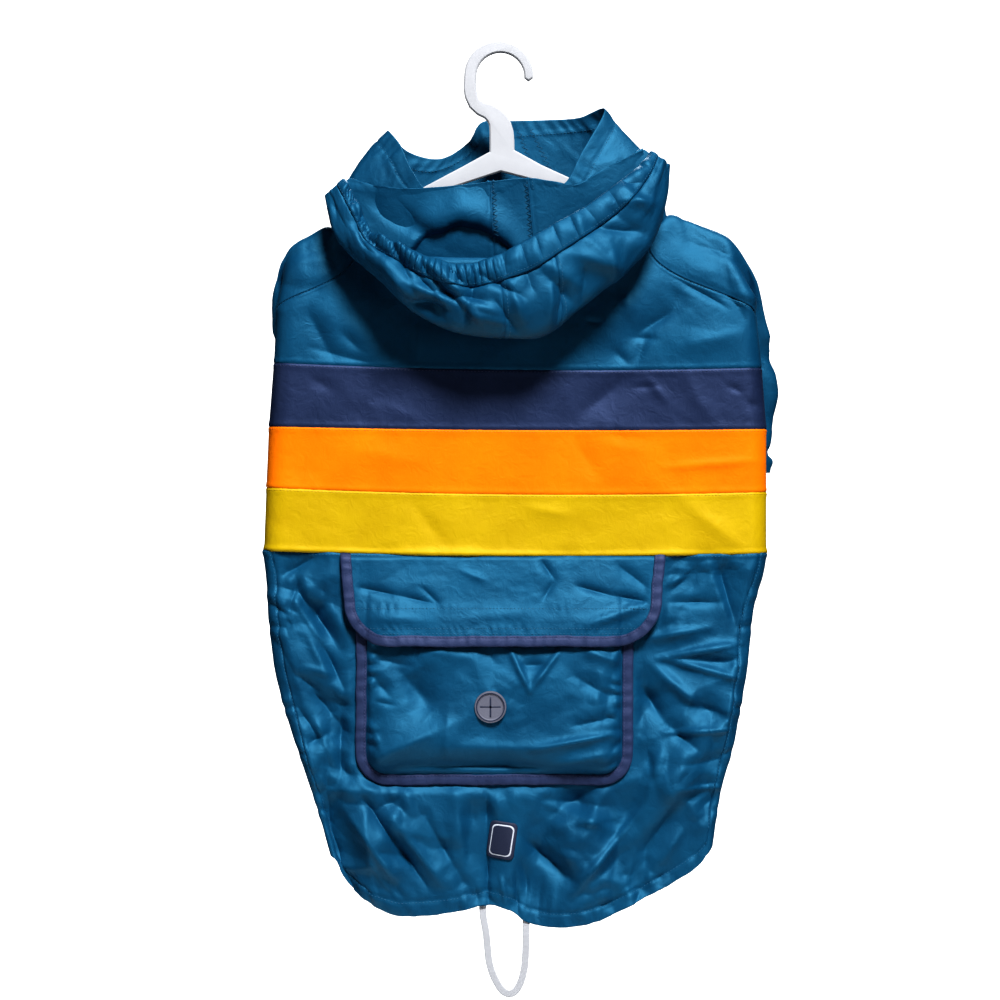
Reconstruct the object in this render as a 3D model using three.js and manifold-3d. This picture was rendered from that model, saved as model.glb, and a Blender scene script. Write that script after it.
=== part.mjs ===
// A dog's hooded windbreaker, hanging from a plastic hanger with its back to the front (-Y).
// Millimetres, +Z up. The origin is the inside top of the hanger's hook.
// Every cloth piece is a wall: a surface worked out from a few named sizes, given its thickness.
import * as THREE from "three";
import { mergeVertices } from "three/addons/utils/BufferGeometryUtils.js";
import Module from "manifold-3d";

const wasm = await Module();
wasm.setup();

// ---- driving sizes ------------------------------------------------------------------------------
const WALL = 1.6;               // one cloth panel with its seam turnings
const SEAM = 0.3;               // clearance between two pieces that are sewn together
const BINDING = { width: 8, thick: 1.5 };
const HEM_SPLIT = 18;           // how far the back panels wrap on to the underside

const BODY_MIDDLE = 15;         // the garment hangs a little to the right of the hook
// the outline of the flattened body, from the shoulders down, and half its depth
const BODY_ROWS = [
  { z: -128, left: -112, right: 139, deep: 11 },
  { z: -140, left: -136, right: 168, deep: 12 },
  { z: -152, left: -161, right: 190, deep: 13 },
  { z: -166, left: -176, right: 201, deep: 14 },
  { z: -184, left: -180, right: 208, deep: 15 },
  { z: -214, left: -178, right: 209, deep: 15 },
  { z: -250, left: -180, right: 213, deep: 15 },
  { z: -302, left: -184, right: 217, deep: 15 },
  { z: -350, left: -186, right: 217, deep: 15 },
  { z: -406, left: -188, right: 217, deep: 15 },
];
// the height of each cross seam at the left fold, the middle and the right fold
const CROSS_SEAMS = {
  yokeNavy: { left: -250, middle: -256, right: -254 },
  navyOrange: { left: -301, middle: -304, right: -303 },
  orangeYellow: { left: -350, middle: -355.5, right: -353.5 },
  yellowLower: { left: -400, middle: -404.5, right: -402.5 },
};
const NECKLINE = { middle: 4, halfWidth: 131, halfDepth: 21, top: -136, drop: 38, tilt: 0.036 };
const YOKE_ROWS = 8;
const RAGLAN_TURN = 62;         // degrees from straight ahead to where a raglan seam meets the neck
const BELLY_HEM = -426;

// ---- small tools for tables and curves ----------------------------------------------------------
const lerp = (a, b, t) => a + (b - a) * t;
const clamp = (v, low, high) => Math.min(high, Math.max(low, v));
const smooth = (t) => {
  const s = clamp(t, 0, 1);
  return s * s * (3 - 2 * s);
};
const vec = (x, y, z) => new THREE.Vector3(x, y, z);

// a smooth curve through equally spaced values, read at step s
function through(values, s) {
  const last = values.length - 1;
  const i = clamp(Math.floor(s), 0, last - 1);
  const t = s - i;
  const p1 = values[i];
  const p2 = values[i + 1];
  const p0 = i > 0 ? values[i - 1] : 2 * p1 - p2;
  const p3 = i + 2 <= last ? values[i + 2] : 2 * p2 - p1;
  const a = 2 * p1;
  const b = p2 - p0;
  const c = 2 * p0 - 5 * p1 + 4 * p2 - p3;
  const d = -p0 + 3 * p1 - 3 * p2 + p3;
  return 0.5 * (a + b * t + c * t * t + d * t * t * t);
}

// the same for one column of a table
const column = (rows, key, s) => through(rows.map((row) => row[key]), s);

// a column read by another column's value, in straight steps
function lookUp(rows, by, key, value) {
  const rising = rows[rows.length - 1][by] > rows[0][by];
  let i = 0;
  while (i < rows.length - 2 && (rising ? value > rows[i + 1][by] : value < rows[i + 1][by])) i += 1;
  const t = (value - rows[i][by]) / (rows[i + 1][by] - rows[i][by]);
  return lerp(rows[i][key], rows[i + 1][key], clamp(t, -0.5, 1.5));
}

// a smooth curve through a few points
function curvePoint(points, t) {
  const s = t * (points.length - 1);
  return vec(
    through(points.map((p) => p.x), s),
    through(points.map((p) => p.y), s),
    through(points.map((p) => p.z), s),
  );
}

// a surface sampled as rows and columns of points
function sampled(rows, columns, surface) {
  const grid = [];
  for (let r = 0; r <= rows; r += 1) {
    const line = [];
    for (let c = 0; c <= columns; c += 1) line.push(surface(c / columns, r / rows));
    grid.push(line);
  }
  return grid;
}

// a four-sided cell is split along its shorter diagonal
const splitCell = (a, b, d, e, firstIsShorter) =>
  (firstIsShorter ? [[a, d, e], [a, e, b]] : [[a, d, b], [b, d, e]]);

// ---- a cloth wall: a grid of points thickened along its normals and closed round its edges ------
function clothWall(grid, { thick = WALL, out = 1 } = {}) {
  const points = [];
  const known = new Map();
  const indexOf = (p) => {
    const key = [p.x, p.y, p.z].map((v) => Math.round(v * 500)).join(",");
    if (!known.has(key)) {
      known.set(key, points.length);
      points.push(p.clone());
    }
    return known.get(key);
  };
  const index = grid.map((line) => line.map(indexOf));
  const faces = [];
  const addFace = (a, b, c) => {
    if (a !== b && b !== c && c !== a) faces.push(out > 0 ? [a, b, c] : [a, c, b]);
  };
  for (let r = 0; r + 1 < index.length; r += 1) {
    for (let c = 0; c + 1 < index[r].length; c += 1) {
      const [a, b] = [index[r][c], index[r][c + 1]];
      const [d, e] = [index[r + 1][c], index[r + 1][c + 1]];
      const firstIsShorter = points[a].distanceTo(points[e]) < points[b].distanceTo(points[d]);
      splitCell(a, b, d, e, firstIsShorter).forEach((face) => addFace(...face));
    }
  }
  const normals = points.map(() => vec(0, 0, 0));
  const edges = new Map();
  for (const face of faces) {
    const [a, b, c] = face.map((i) => points[i]);
    const normal = b.clone().sub(a).cross(c.clone().sub(a));
    face.forEach((i) => normals[i].add(normal));
    face.forEach((from, k) => edges.set(`${from},${face[(k + 1) % 3]}`, true));
  }
  const outer = points.map((p, i) => p.clone().addScaledVector(normals[i].normalize(), thick));
  const shift = points.length;
  const triangles = [];
  for (const [a, b, c] of faces) {
    triangles.push([a + shift, b + shift, c + shift], [a, c, b]);
    for (const [from, to] of [[a, b], [b, c], [c, a]]) {
      if (!edges.has(`${to},${from}`)) {
        triangles.push([from, to, to + shift], [from, to + shift, from + shift]);
      }
    }
  }
  return solidOf(points.concat(outer), triangles);
}

function solidOf(points, triangles) {
  const geometry = new THREE.BufferGeometry();
  geometry.setAttribute("position", new THREE.Float32BufferAttribute(points.flatMap((p) => p.toArray()), 3));
  geometry.setIndex(triangles.flat());
  geometry.computeVertexNormals();
  return geometry;
}

// ---- the body: a flattened tube, its two folds half round ---------------------------------------
function bodyHalf(z) {
  const left = lookUp(BODY_ROWS, "z", "left", z);
  const right = lookUp(BODY_ROWS, "z", "right", z);
  return {
    middle: (left + right) / 2,
    half: (right - left) / 2 - WALL,
    deep: lookUp(BODY_ROWS, "z", "deep", z),
  };
}

// how far round the tube the side seam lies, from the middle of the back
function seamReach(z) {
  const { half, deep } = bodyHalf(z);
  return half - deep + Math.PI * deep + HEM_SPLIT;
}

// the point at distance `round` from the middle of the back (left is negative), at height z
function bodyPoint(round, z) {
  const { middle, half, deep } = bodyHalf(z);
  const flat = half - deep;
  const side = Math.sign(round);
  const past = Math.abs(round) - flat;
  if (past <= 0) return vec(middle + round, -deep - relief(middle + round, z), z);
  if (past <= Math.PI * deep) {
    const turn = past / deep;
    const ease = relief(middle + side * flat, z) * (1 - past / (Math.PI * deep));
    return vec(
      middle + side * (flat + deep * Math.sin(turn)),
      -deep * Math.cos(turn) - ease,
      z,
    );
  }
  return vec(middle + side * (flat - (past - Math.PI * deep)), deep, z);
}

// the largest folds of the back: ridges are positive, troughs negative
const FOLDS = [
  { x0: -9, z0: -596, x1: -9, z1: -684, wide: 9, high: -4 },
  { x0: -28, z0: -600, x1: -30, z1: -680, wide: 11, high: 3 },
  { x0: 14, z0: -600, x1: 12, z1: -690, wide: 10, high: 3 },
  { x0: -125, z0: -590, x1: -58, z1: -680, wide: 11, high: 6 },
  { x0: -92, z0: -604, x1: -36, z1: -676, wide: 9, high: 4 },
  { x0: 178, z0: -522, x1: 120, z1: -610, wide: 12, high: 6 },
  { x0: 120, z0: -610, x1: 62, z1: -684, wide: 12, high: 7 },
  { x0: 150, z0: -600, x1: 96, z1: -668, wide: 9, high: -4 },
  { x0: 196, z0: -478, x1: 150, z1: -486, wide: 8, high: 4 },
  { x0: 190, z0: -542, x1: 146, z1: -520, wide: 8, high: -4 },
  { x0: -172, z0: -452, x1: -132, z1: -560, wide: 12, high: 4 },
  { x0: 158, z0: -190, x1: 92, z1: -244, wide: 10, high: -4 },
  { x0: 128, z0: -188, x1: 62, z1: -226, wide: 12, high: 3 },
  { x0: -148, z0: -206, x1: -92, z1: -246, wide: 13, high: 3 },
];

function relief(x, z) {
  let height = 0;
  for (const fold of FOLDS) {
    const along = vec(fold.x1 - fold.x0, 0, fold.z1 - fold.z0);
    const from = vec(x - fold.x0, 0, z - fold.z0);
    const t = clamp(from.dot(along) / along.lengthSq(), 0, 1);
    const away = from.addScaledVector(along, -t).length();
    height += fold.high * Math.exp(-((away / fold.wide) ** 2)) * (0.35 + 0.65 * Math.sin(Math.PI * t));
  }
  return height;
}

// the height of a cross seam at distance `round` from the middle
function crossSeam(seam, round, reach) {
  const t = clamp(round / reach, -1, 1);
  const bow = (seam.left + seam.right) / 2 - seam.middle;
  return seam.middle + ((seam.right - seam.left) / 2) * t + bow * t * t;
}

// a stripe runs right round from side seam to side seam
function stripePanel(upper, lower) {
  return clothWall(sampled(3, 34, (u, v) => {
    const high = bodyHalf(lerp(upper.middle, lower.middle, v));
    const reach = seamReach(lerp(upper.middle, lower.middle, v));
    const round = lerp(-reach, reach, u);
    const top = crossSeam(upper, round, high.half) - SEAM / 2;
    const bottom = crossSeam(lower, round, high.half) + SEAM / 2;
    return bodyPoint(round, lerp(top, bottom, v));
  }));
}

// ---- the neckline, the yoke and the underside ---------------------------------------------------
// turn 0 is straight ahead (-Y), negative to the left; beyond 90 it is on the throat side
function neckPoint(turn) {
  const angle = (turn * Math.PI) / 180;
  const x = NECKLINE.middle + NECKLINE.halfWidth * Math.sin(angle);
  const sink = Math.abs(Math.cos(angle)) ** 1.3;
  return vec(
    x,
    -NECKLINE.halfDepth * Math.cos(angle),
    NECKLINE.top + NECKLINE.tilt * x - NECKLINE.drop * sink,
  );
}

// a raglan seam on the back: distance round the body and height, from the neck to the side seam
function raglanRound(side, v) {
  const start = neckPoint(side * RAGLAN_TURN);
  const end = side < 0 ? CROSS_SEAMS.yokeNavy.left : CROSS_SEAMS.yokeNavy.right;
  const away = Math.abs(start.x - BODY_MIDDLE);
  const reach = seamReach(end);
  const rounds = [away, lerp(away, reach, 0.3), lerp(away, reach, 0.6), lerp(away, reach, 0.83), reach];
  const heights = [start.z, lerp(start.z, end, 0.3), lerp(start.z, end, 0.56), lerp(start.z, end, 0.8), end];
  return { round: side * through(rounds, v * 4), z: through(heights, v * 4) };
}

function yokePoint(u, v) {
  const top = neckPoint(lerp(-RAGLAN_TURN, RAGLAN_TURN, u));
  const seam = CROSS_SEAMS.yokeNavy;
  const reach = seamReach(seam.middle);
  const round = lerp(-reach, reach, u);
  const bottom = { round, z: crossSeam(seam, round, bodyHalf(seam.middle).half) + SEAM / 2 };
  const left = raglanRound(-1, v);
  const right = raglanRound(1, v);
  const ends = [-1, 1].map((side) => [raglanRound(side, 0), raglanRound(side, 1)]);
  const blend = (key, topValue, bottomValue) =>
    lerp(topValue, bottomValue, v) + lerp(left[key], right[key], u)
    - lerp(lerp(ends[0][0][key], ends[1][0][key], u), lerp(ends[0][1][key], ends[1][1][key], u), v);
  const z = blend("z", top.z, bottom.z);
  const distance = blend("round", top.x - BODY_MIDDLE, bottom.round);
  const point = bodyPoint(distance, z);
  const settled = smooth(v / 0.5);
  point.y = lerp(top.y, point.y, settled);
  point.x = lerp(top.x, point.x, settled);
  return point;
}

// where the yoke's raglan edge lies, and the underside's beside it
const yokeEdge = (side, v) => yokePoint(side < 0 ? 0 : 1, v);

function bellyEdge(side, v) {
  const neck = neckPoint(side * (180 - RAGLAN_TURN));
  const armpit = yokeEdge(side, 1);
  if (v <= BELLY_ARMPIT) {
    const t = v / BELLY_ARMPIT;
    return vec(lerp(neck.x, armpit.x, t), lerp(neck.y, armpit.y, t), lerp(neck.z, armpit.z, t));
  }
  const z = lerp(armpit.z, BELLY_HEM, (v - BELLY_ARMPIT) / (1 - BELLY_ARMPIT));
  const clampZ = Math.max(z, BODY_ROWS[BODY_ROWS.length - 1].z);
  const edge = bodyPoint(side * seamReach(clampZ), clampZ);
  return vec(edge.x, edge.y, z);
}
const BELLY_ARMPIT = 0.36;
// four of its eleven rows lie above the armpit
const bellyRow = (v) => (v < 4 / 11 ? (v * 11 * BELLY_ARMPIT) / 4 : lerp(BELLY_ARMPIT, 1, (v * 11 - 4) / 7));

const BELLY_GAP = 0.5;
function bellyPoint(u, v) {
  const left = bellyEdge(-1, v);
  const right = bellyEdge(1, v);
  const top = neckPoint(lerp(-(180 - RAGLAN_TURN), -(180 + RAGLAN_TURN), u));
  const start = lerp(bellyEdge(-1, 0).z, bellyEdge(1, 0).z, u);
  const topDip = (top.z - start) * (1 - v);
  const depth = lerp(left.y, right.y, u) + (top.y - left.y) * (1 - smooth(v / 0.4)) * Math.sin(Math.PI * u);
  return vec(
    lerp(left.x + BELLY_GAP, right.x - BELLY_GAP, u),
    depth,
    lerp(left.z, right.z, u) + topDip,
  );
}

// ---- the lower back: free side edges, rounded corners, a hem ------------------------------------
const LOWER_SIDES = [
  { v: 0, left: -187, right: 215.5, zl: -401, zr: -403 },
  { v: 1, left: -184, right: 212, zl: -422, zr: -421 },
  { v: 2, left: -182, right: 204, zl: -452, zr: -450 },
  { v: 3, left: -177, right: 200, zl: -494, zr: -488 },
  { v: 4, left: -168, right: 194, zl: -530, zr: -524 },
  { v: 5, left: -156, right: 187, zl: -566, zr: -560 },
  { v: 6, left: -143, right: 178, zl: -606, zr: -592 },
  { v: 7, left: -132, right: 176, zl: -644, zr: -620 },
];
const HEM = [
  { x: -132, z: -644 },
  { x: -118, z: -669 },
  { x: -88, z: -689.5 },
  { x: -62, z: -692.5 },
  { x: -34, z: -689.5 },
  { x: -7, z: -684.5 },
  { x: 10, z: -688.5 },
  { x: 27, z: -699 },
  { x: 54, z: -701.6 },
  { x: 82, z: -696 },
  { x: 112, z: -681 },
  { x: 150, z: -651 },
  { x: 176, z: -620 },
];

// columns crowd a little towards the two edges, where the cloth turns
const crowded = (u) => 0.6 * u + 0.4 * smooth(u);

function lowerPlan(u, v) {
  const seam = CROSS_SEAMS.yellowLower;
  const { middle, half } = bodyHalf(seam.middle);
  const s = v * (LOWER_SIDES.length - 1);
  const left = { x: column(LOWER_SIDES, "left", s), z: column(LOWER_SIDES, "zl", s) };
  const right = { x: column(LOWER_SIDES, "right", s), z: column(LOWER_SIDES, "zr", s) };
  const first = LOWER_SIDES[0];
  const last = LOWER_SIDES[LOWER_SIDES.length - 1];
  const topX = lerp(first.left, first.right, u);
  const top = { x: topX, z: crossSeam(seam, topX - middle, half) - SEAM / 2 };
  const h = u * (HEM.length - 1);
  const bottom = { x: column(HEM, "x", h), z: column(HEM, "z", h) };
  const corners = {
    x: lerp(lerp(first.left, first.right, u), lerp(last.left, last.right, u), v),
    z: lerp(lerp(first.zl, first.zr, u), lerp(last.zl, last.zr, u), v),
  };
  return {
    x: lerp(top.x, bottom.x, v) + lerp(left.x, right.x, u) - corners.x,
    z: lerp(top.z, bottom.z, v) + lerp(left.z, right.z, u) - corners.z,
  };
}

const LOWER_FRONT = -15;

function lowerPoint(u, v) {
  const { x, z } = lowerPlan(crowded(u), v);
  const edge = Math.abs(2 * crowded(u) - 1);
  const turned = clamp((edge - 0.925) / 0.075, 0, 1);
  const reach = lerp(15, 5, smooth(v * 1.6));
  const easing = 1 - 0.75 * turned;
  const y = LOWER_FRONT - relief(x, z) * easing + reach * (1 - Math.sqrt(1 - turned * turned * 0.98));
  return vec(x, y, z);
}

const LOWER_GRID = sampled(17, 32, lowerPoint);

// the depth of the lower back at (x, z), read from its own facets
function lowerDepth(x, z) {
  for (let r = 0; r + 1 < LOWER_GRID.length; r += 1) {
    for (let c = 0; c + 1 < LOWER_GRID[r].length; c += 1) {
      const [a, b] = [LOWER_GRID[r][c], LOWER_GRID[r][c + 1]];
      const [d, e] = [LOWER_GRID[r + 1][c], LOWER_GRID[r + 1][c + 1]];
      for (const [p, q, s] of splitCell(a, b, d, e, a.distanceTo(e) < b.distanceTo(d))) {
        const area = (q.x - p.x) * (s.z - p.z) - (s.x - p.x) * (q.z - p.z);
        const wq = ((x - p.x) * (s.z - p.z) - (s.x - p.x) * (z - p.z)) / area;
        const ws = ((q.x - p.x) * (z - p.z) - (x - p.x) * (q.z - p.z)) / area;
        if (wq >= -1e-9 && ws >= -1e-9 && wq + ws <= 1 + 1e-9) return p.y + wq * (q.y - p.y) + ws * (s.y - p.y);
      }
    }
  }
  return LOWER_FRONT;
}

// ---- the saddle pocket, its flap and their bindings ---------------------------------------------
const POCKET = {
  left: -112, right: 108, top: -446, bottom: -587, corner: 24, taper: 0, puff: 12, seat: 0.7,
  steps: { side: 6, corner: 4, bottom: 10 },
};
const FLAP = {
  left: -125, right: 134, top: -406, bottom: -476, corner: 32, taper: 7,
  steps: { side: 3, corner: 5, bottom: 12 },
};

// a rounded box coordinate: 0 at the edge, 1 well inside
const inside = (distance, wide) => Math.sqrt(1 - (1 - clamp(distance / wide, 0, 1)) ** 2);

// how far (x, z) lies inside the pocket's outline, whose lower corners are round
function pocketDepthIn(x, z) {
  const { left, right, bottom, corner } = POCKET;
  const top = POCKET.top + 200;
  const px = Math.abs(x - (left + right) / 2) - (right - left) / 2 + corner;
  const pz = Math.abs(z - (top + bottom) / 2) - (top - bottom) / 2 + corner;
  return corner - Math.hypot(Math.max(px, 0), Math.max(pz, 0)) - Math.min(Math.max(px, pz), 0);
}

// the pocket stands off the panel: a flat flange under its binding, then a puffed body
function pocketLift(x, z) {
  const depthIn = pocketDepthIn(x, z);
  const flange = 1.2 * clamp(depthIn / BINDING.width, 0, 1);
  const slump = lerp(0.6, 1, smooth((POCKET.top + 40 - z) / 90));
  return POCKET.seat + flange + POCKET.puff * slump * inside(depthIn - BINDING.width - 1, 30);
}

// a pouch outline is a U: down the left side, round the bottom and up the right side.
// The point at step c of it, drawn in by inX and inZ
function pouchRim(shape, c, inX, inZ) {
  const { side, corner, bottom } = shape.steps;
  const total = 2 * (side + corner) + bottom;
  const step = Math.min(c, total - c);
  const half = (shape.right - shape.left) / 2 - inX;
  const tall = shape.top - shape.bottom - inZ;
  const roundX = Math.max(0, Math.min(shape.corner - Math.min(inX, BINDING.width), half));
  const roundZ = Math.max(0, Math.min(shape.corner - Math.min(inZ, BINDING.width), tall));
  let out = half;
  let down = ((tall - roundZ) * step) / side;
  if (step > side) {
    const angle = (Math.min((step - side) / corner, 1) * Math.PI) / 2;
    out = half - roundX * (1 - Math.cos(angle));
    down = tall - roundZ * (1 - Math.sin(angle));
  }
  if (step > side + corner) out = (half - roundX) * (1 - (step - side - corner) / (bottom / 2));
  const narrowed = 1 - (shape.taper * down) / (shape.top - shape.bottom) / ((shape.right - shape.left) / 2);
  return { x: (shape.left + shape.right) / 2 + (c > total / 2 ? 1 : -1) * out * narrowed, z: shape.top - down };
}

const pouchColumns = ({ steps }) => 2 * (steps.side + steps.corner) + steps.bottom;

// rows run from the outline to the middle; the first is the flange under the binding
function pouchGrid(shape, rows, lift) {
  const half = (shape.right - shape.left) / 2;
  const deepest = (shape.top - shape.bottom) * 0.6;
  const flange = BINDING.width + 0.5;
  return Array.from({ length: rows + 1 }, (_, r) => {
    const t = ((r - 1) / (rows - 1)) ** 1.5;
    const inX = r === 0 ? 0 : lerp(flange, half, t);
    const inZ = r === 0 ? 0 : lerp(flange, deepest, t);
    return Array.from({ length: pouchColumns(shape) + 1 }, (__, c) => {
      const { x, z } = pouchRim(shape, c, inX, inZ);
      return vec(x, lowerDepth(x, z) - WALL - lift(x, z), z);
    });
  });
}

function flapLift(x, z) {
  const drop = smooth((FLAP.top - z) / 22);
  const over = Math.max(pocketLift(x, z) + WALL + BINDING.thick + 1.6, 7);
  return lerp(POCKET.seat, over, drop);
}

// a folded tape along the outline, lying on its flange
function bindingStrip(shape, lift, clear) {
  const rows = [-0.8, BINDING.width / 2, BINDING.width].map((inset) => (
    Array.from({ length: pouchColumns(shape) + 1 }, (_, c) => {
      const { x, z } = pouchRim(shape, c, inset, inset);
      return vec(x, lowerDepth(x, z) - WALL * 2 - lift(x, z) - clear, z);
    })));
  return clothWall(rows, { thick: BINDING.thick, out: -1 });
}

// ---- the sleeves --------------------------------------------------------------------------------
// where the ridge over the hanger, the rear and the inner side lie, from neck (t 0) to armpit (t 1)
const SLEEVES = {
  left: {
    side: -1,
    cap: [
      { ridge: [-129, 0, -137], rear: [-124, 13, -146], inner: [-117, 15, -153] },
      { ridge: [-148, 0, -147], rear: [-143, 18, -160], inner: [-130, 20, -170] },
      { ridge: [-166, 0, -158], rear: [-160, 24, -177], inner: [-142, 25, -190] },
      { ridge: [-177, 4, -182], rear: [-168, 33, -196], inner: [-138, 32, -210] },
      { ridge: [-178, 20, -222], rear: [-142, 42, -214], inner: [-100, 33, -226] },
    ],
    tube: [
      { z: -270, x: -132, half: 46, y: 32, deep: 12 },
      { z: -294, x: -131, half: 45, y: 33, deep: 12 },
      { z: -314, x: -130, half: 43, y: 34, deep: 11 },
      { z: -325, x: -129, half: 37, y: 34, deep: 9 },
      { z: -336, x: -129, half: 41, y: 34, deep: 11 },
    ],
  },
  right: {
    side: 1,
    cap: [
      { ridge: [138, 0, -130], rear: [133, 13, -139], inner: [126, 15, -146] },
      { ridge: [161, 0, -140], rear: [156, 18, -153], inner: [142, 20, -163] },
      { ridge: [187, 1, -153], rear: [180, 24, -170], inner: [160, 25, -184] },
      { ridge: [208, 8, -182], rear: [198, 33, -192], inner: [170, 32, -206] },
      { ridge: [219, 24, -226], rear: [184, 43, -212], inner: [142, 34, -226] },
    ],
    tube: [
      { z: -270, x: 177, half: 47, y: 33, deep: 12 },
      { z: -294, x: 177, half: 46, y: 34, deep: 12 },
      { z: -314, x: 177, half: 44, y: 34, deep: 11 },
      { z: -325, x: 180, half: 41, y: 34, deep: 9 },
      { z: -336, x: 179, half: 44, y: 34, deep: 11 },
    ],
  },
};
const SLEEVE_COLUMNS = 20;
const SLEEVE_GAP = 0.0045;
const ARMPIT_STAND = WALL * 2 + 0.6;
const CUFF_GATHER = 1.3;

function sleeveGrid({ side, cap, tube }) {
  const grid = [];
  const capRows = YOKE_ROWS;
  for (let r = 0; r <= capRows; r += 1) {
    const t = r / capRows;
    const spot = (key, axis) => through(cap.map((row) => row[key][axis]), t * (cap.length - 1));
    const at = (key) => vec(spot(key, 0), spot(key, 1), spot(key, 2));
    const front = yokePoint(side < 0 ? -SLEEVE_GAP : 1 + SLEEVE_GAP, t);
    const back = bellyPoint(side < 0 ? -SLEEVE_GAP : 1 + SLEEVE_GAP, t * BELLY_ARMPIT);
    // behind the body the sleeve stands clear of the panels that it is sewn to
    front.y += ARMPIT_STAND * smooth((t - 0.55) / 0.3);
    back.y += ARMPIT_STAND * smooth(t / 0.25);
    if (r === capRows) front.copy(back);
    const ridge = at("ridge");
    const crest = vec(lerp(front.x, ridge.x, 0.62), lerp(front.y, ridge.y, 0.3), lerp(front.z, ridge.z, 0.62));
    const knots = [front, crest, ridge, at("rear"), at("inner"), back];
    grid.push(Array.from({ length: SLEEVE_COLUMNS + 1 }, (_, c) => {
      if (r > 0) return curvePoint(knots, c / SLEEVE_COLUMNS);
      const turn = lerp(RAGLAN_TURN + 0.4, 180 - RAGLAN_TURN - 0.4, c / SLEEVE_COLUMNS);
      return neckPoint(side * turn).add(vec(side * 1.2, 0, -0.8));
    }));
  }
  tube.forEach((ring, r) => {
    const line = [];
    for (let c = 0; c <= SLEEVE_COLUMNS; c += 1) {
      const angle = (c / SLEEVE_COLUMNS) * Math.PI * 2;
      const gathered = r === tube.length - 2 ? 1 : Number(r > tube.length - 2) * 0.5;
      const wave = (c % 2 ? 1 : -1) * CUFF_GATHER * gathered;
      const squareX = Math.sign(Math.sin(angle)) * Math.abs(Math.sin(angle)) ** 0.8;
      const squareY = Math.sign(Math.cos(angle)) * Math.abs(Math.cos(angle)) ** 0.8;
      line.push(vec(
        ring.x + side * (ring.half + wave) * squareX,
        ring.y - (ring.deep + wave) * squareY,
        ring.z,
      ));
    }
    line[SLEEVE_COLUMNS] = line[0].clone();
    grid.push(line);
  });
  return grid;
}

// ---- the collar: a wide stand-up funnel with a gathered edge ------------------------------------
// its top edge, by the turn round the neck (0 straight ahead, 90 right, 180 at the throat)
const COLLAR_EDGE = [
  { x: 0, y: -23, z: -122 },
  { x: 34, y: -22, z: -119 },
  { x: 55, y: -20, z: -106 },
  { x: 67, y: -15, z: -83 },
  { x: 86, y: 1, z: -46.5 },
  { x: 66, y: 18, z: -50.5 },
  { x: 42, y: 23, z: -51.5 },
  { x: 14, y: 25, z: -52 },
  { x: -12, y: 25, z: -53 },
  { x: -24, y: 25, z: -70 },
  { x: -46, y: 23, z: -83 },
  { x: -72, y: 16, z: -78 },
  { x: -87, y: 1, z: -63 },
  { x: -77, y: -12, z: -76 },
  { x: -68, y: -18, z: -96 },
  { x: -50, y: -21, z: -116 },
  { x: 0, y: -23, z: -122 },
];
const COLLAR_COLUMNS = 52;
const COLLAR_BULGE = 11;

function collarPoint(round, v, gather) {
  const steps = COLLAR_EDGE.length - 1;
  const s = round * steps;
  const base = neckPoint(round * 360);
  const edge = vec(column(COLLAR_EDGE, "x", s), column(COLLAR_EDGE, "y", s), column(COLLAR_EDGE, "z", s));
  const side = Math.sin(round * Math.PI * 2);
  const bulge = COLLAR_BULGE * side * Math.abs(side) * Math.sin(Math.PI * v);
  const height = lerp(edge.z, base.z + 2.6, v);
  const out = 1 + gather / 24;
  return vec(lerp(edge.x * out, base.x, v) + bulge, lerp(edge.y * out, base.y, v), height);
}

function collarGrid() {
  const grid = [];
  const rows = 5;
  for (let r = 0; r <= rows; r += 1) {
    const line = [];
    for (let c = 0; c < COLLAR_COLUMNS; c += 1) {
      const gather = r === 0 ? (c % 2 ? 0.7 : -0.7) : 0;
      line.push(collarPoint(c / COLLAR_COLUMNS, r / rows, gather));
    }
    line.push(line[0].clone());
    grid.push(line);
  }
  return grid;
}

// ---- the hood: a pouch that hangs forward over the back -----------------------------------------
// from left to right: its gathered rim, its lowest outline and the fold along its top
const HOOD = [
  { rimX: -122, rimZ: -107, lowX: -136, lowZ: -118, foldX: -117, foldZ: -103 },
  { rimX: -107, rimZ: -130, lowX: -128, lowZ: -146, foldX: -104, foldZ: -108 },
  { rimX: -97, rimZ: -150, lowX: -112, lowZ: -170, foldX: -90, foldZ: -110 },
  { rimX: -76, rimZ: -161, lowX: -90, lowZ: -189, foldX: -74, foldZ: -112 },
  { rimX: -54, rimZ: -170, lowX: -64, lowZ: -214, foldX: -52, foldZ: -112 },
  { rimX: -27, rimZ: -176, lowX: -27, lowZ: -229, foldX: -25, foldZ: -110 },
  { rimX: 0, rimZ: -169, lowX: 6, lowZ: -231, foldX: 0, foldZ: -107 },
  { rimX: 25, rimZ: -156, lowX: 36, lowZ: -229, foldX: 24, foldZ: -105 },
  { rimX: 47, rimZ: -143, lowX: 60, lowZ: -212, foldX: 44, foldZ: -107 },
  { rimX: 71, rimZ: -129, lowX: 90, lowZ: -187, foldX: 63, foldZ: -109 },
  { rimX: 95, rimZ: -111, lowX: 120, lowZ: -159, foldX: 84, foldZ: -97 },
  { rimX: 112, rimZ: -97, lowX: 134, lowZ: -122, foldX: 104, foldZ: -86 },
  { rimX: 122, rimZ: -86, lowX: 138, lowZ: -93, foldX: 116, foldZ: -80 },
];
const HOOD_LAST = HOOD.length - 1;
const HOOD_STRIP = { from: 6.05, to: 7.55 };
const HOOD_CASING = 0.885;
const HOOD_TURN = 80;
const HOOD_SEWN = 2.5;             // in front of the neckline, against the collar

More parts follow.
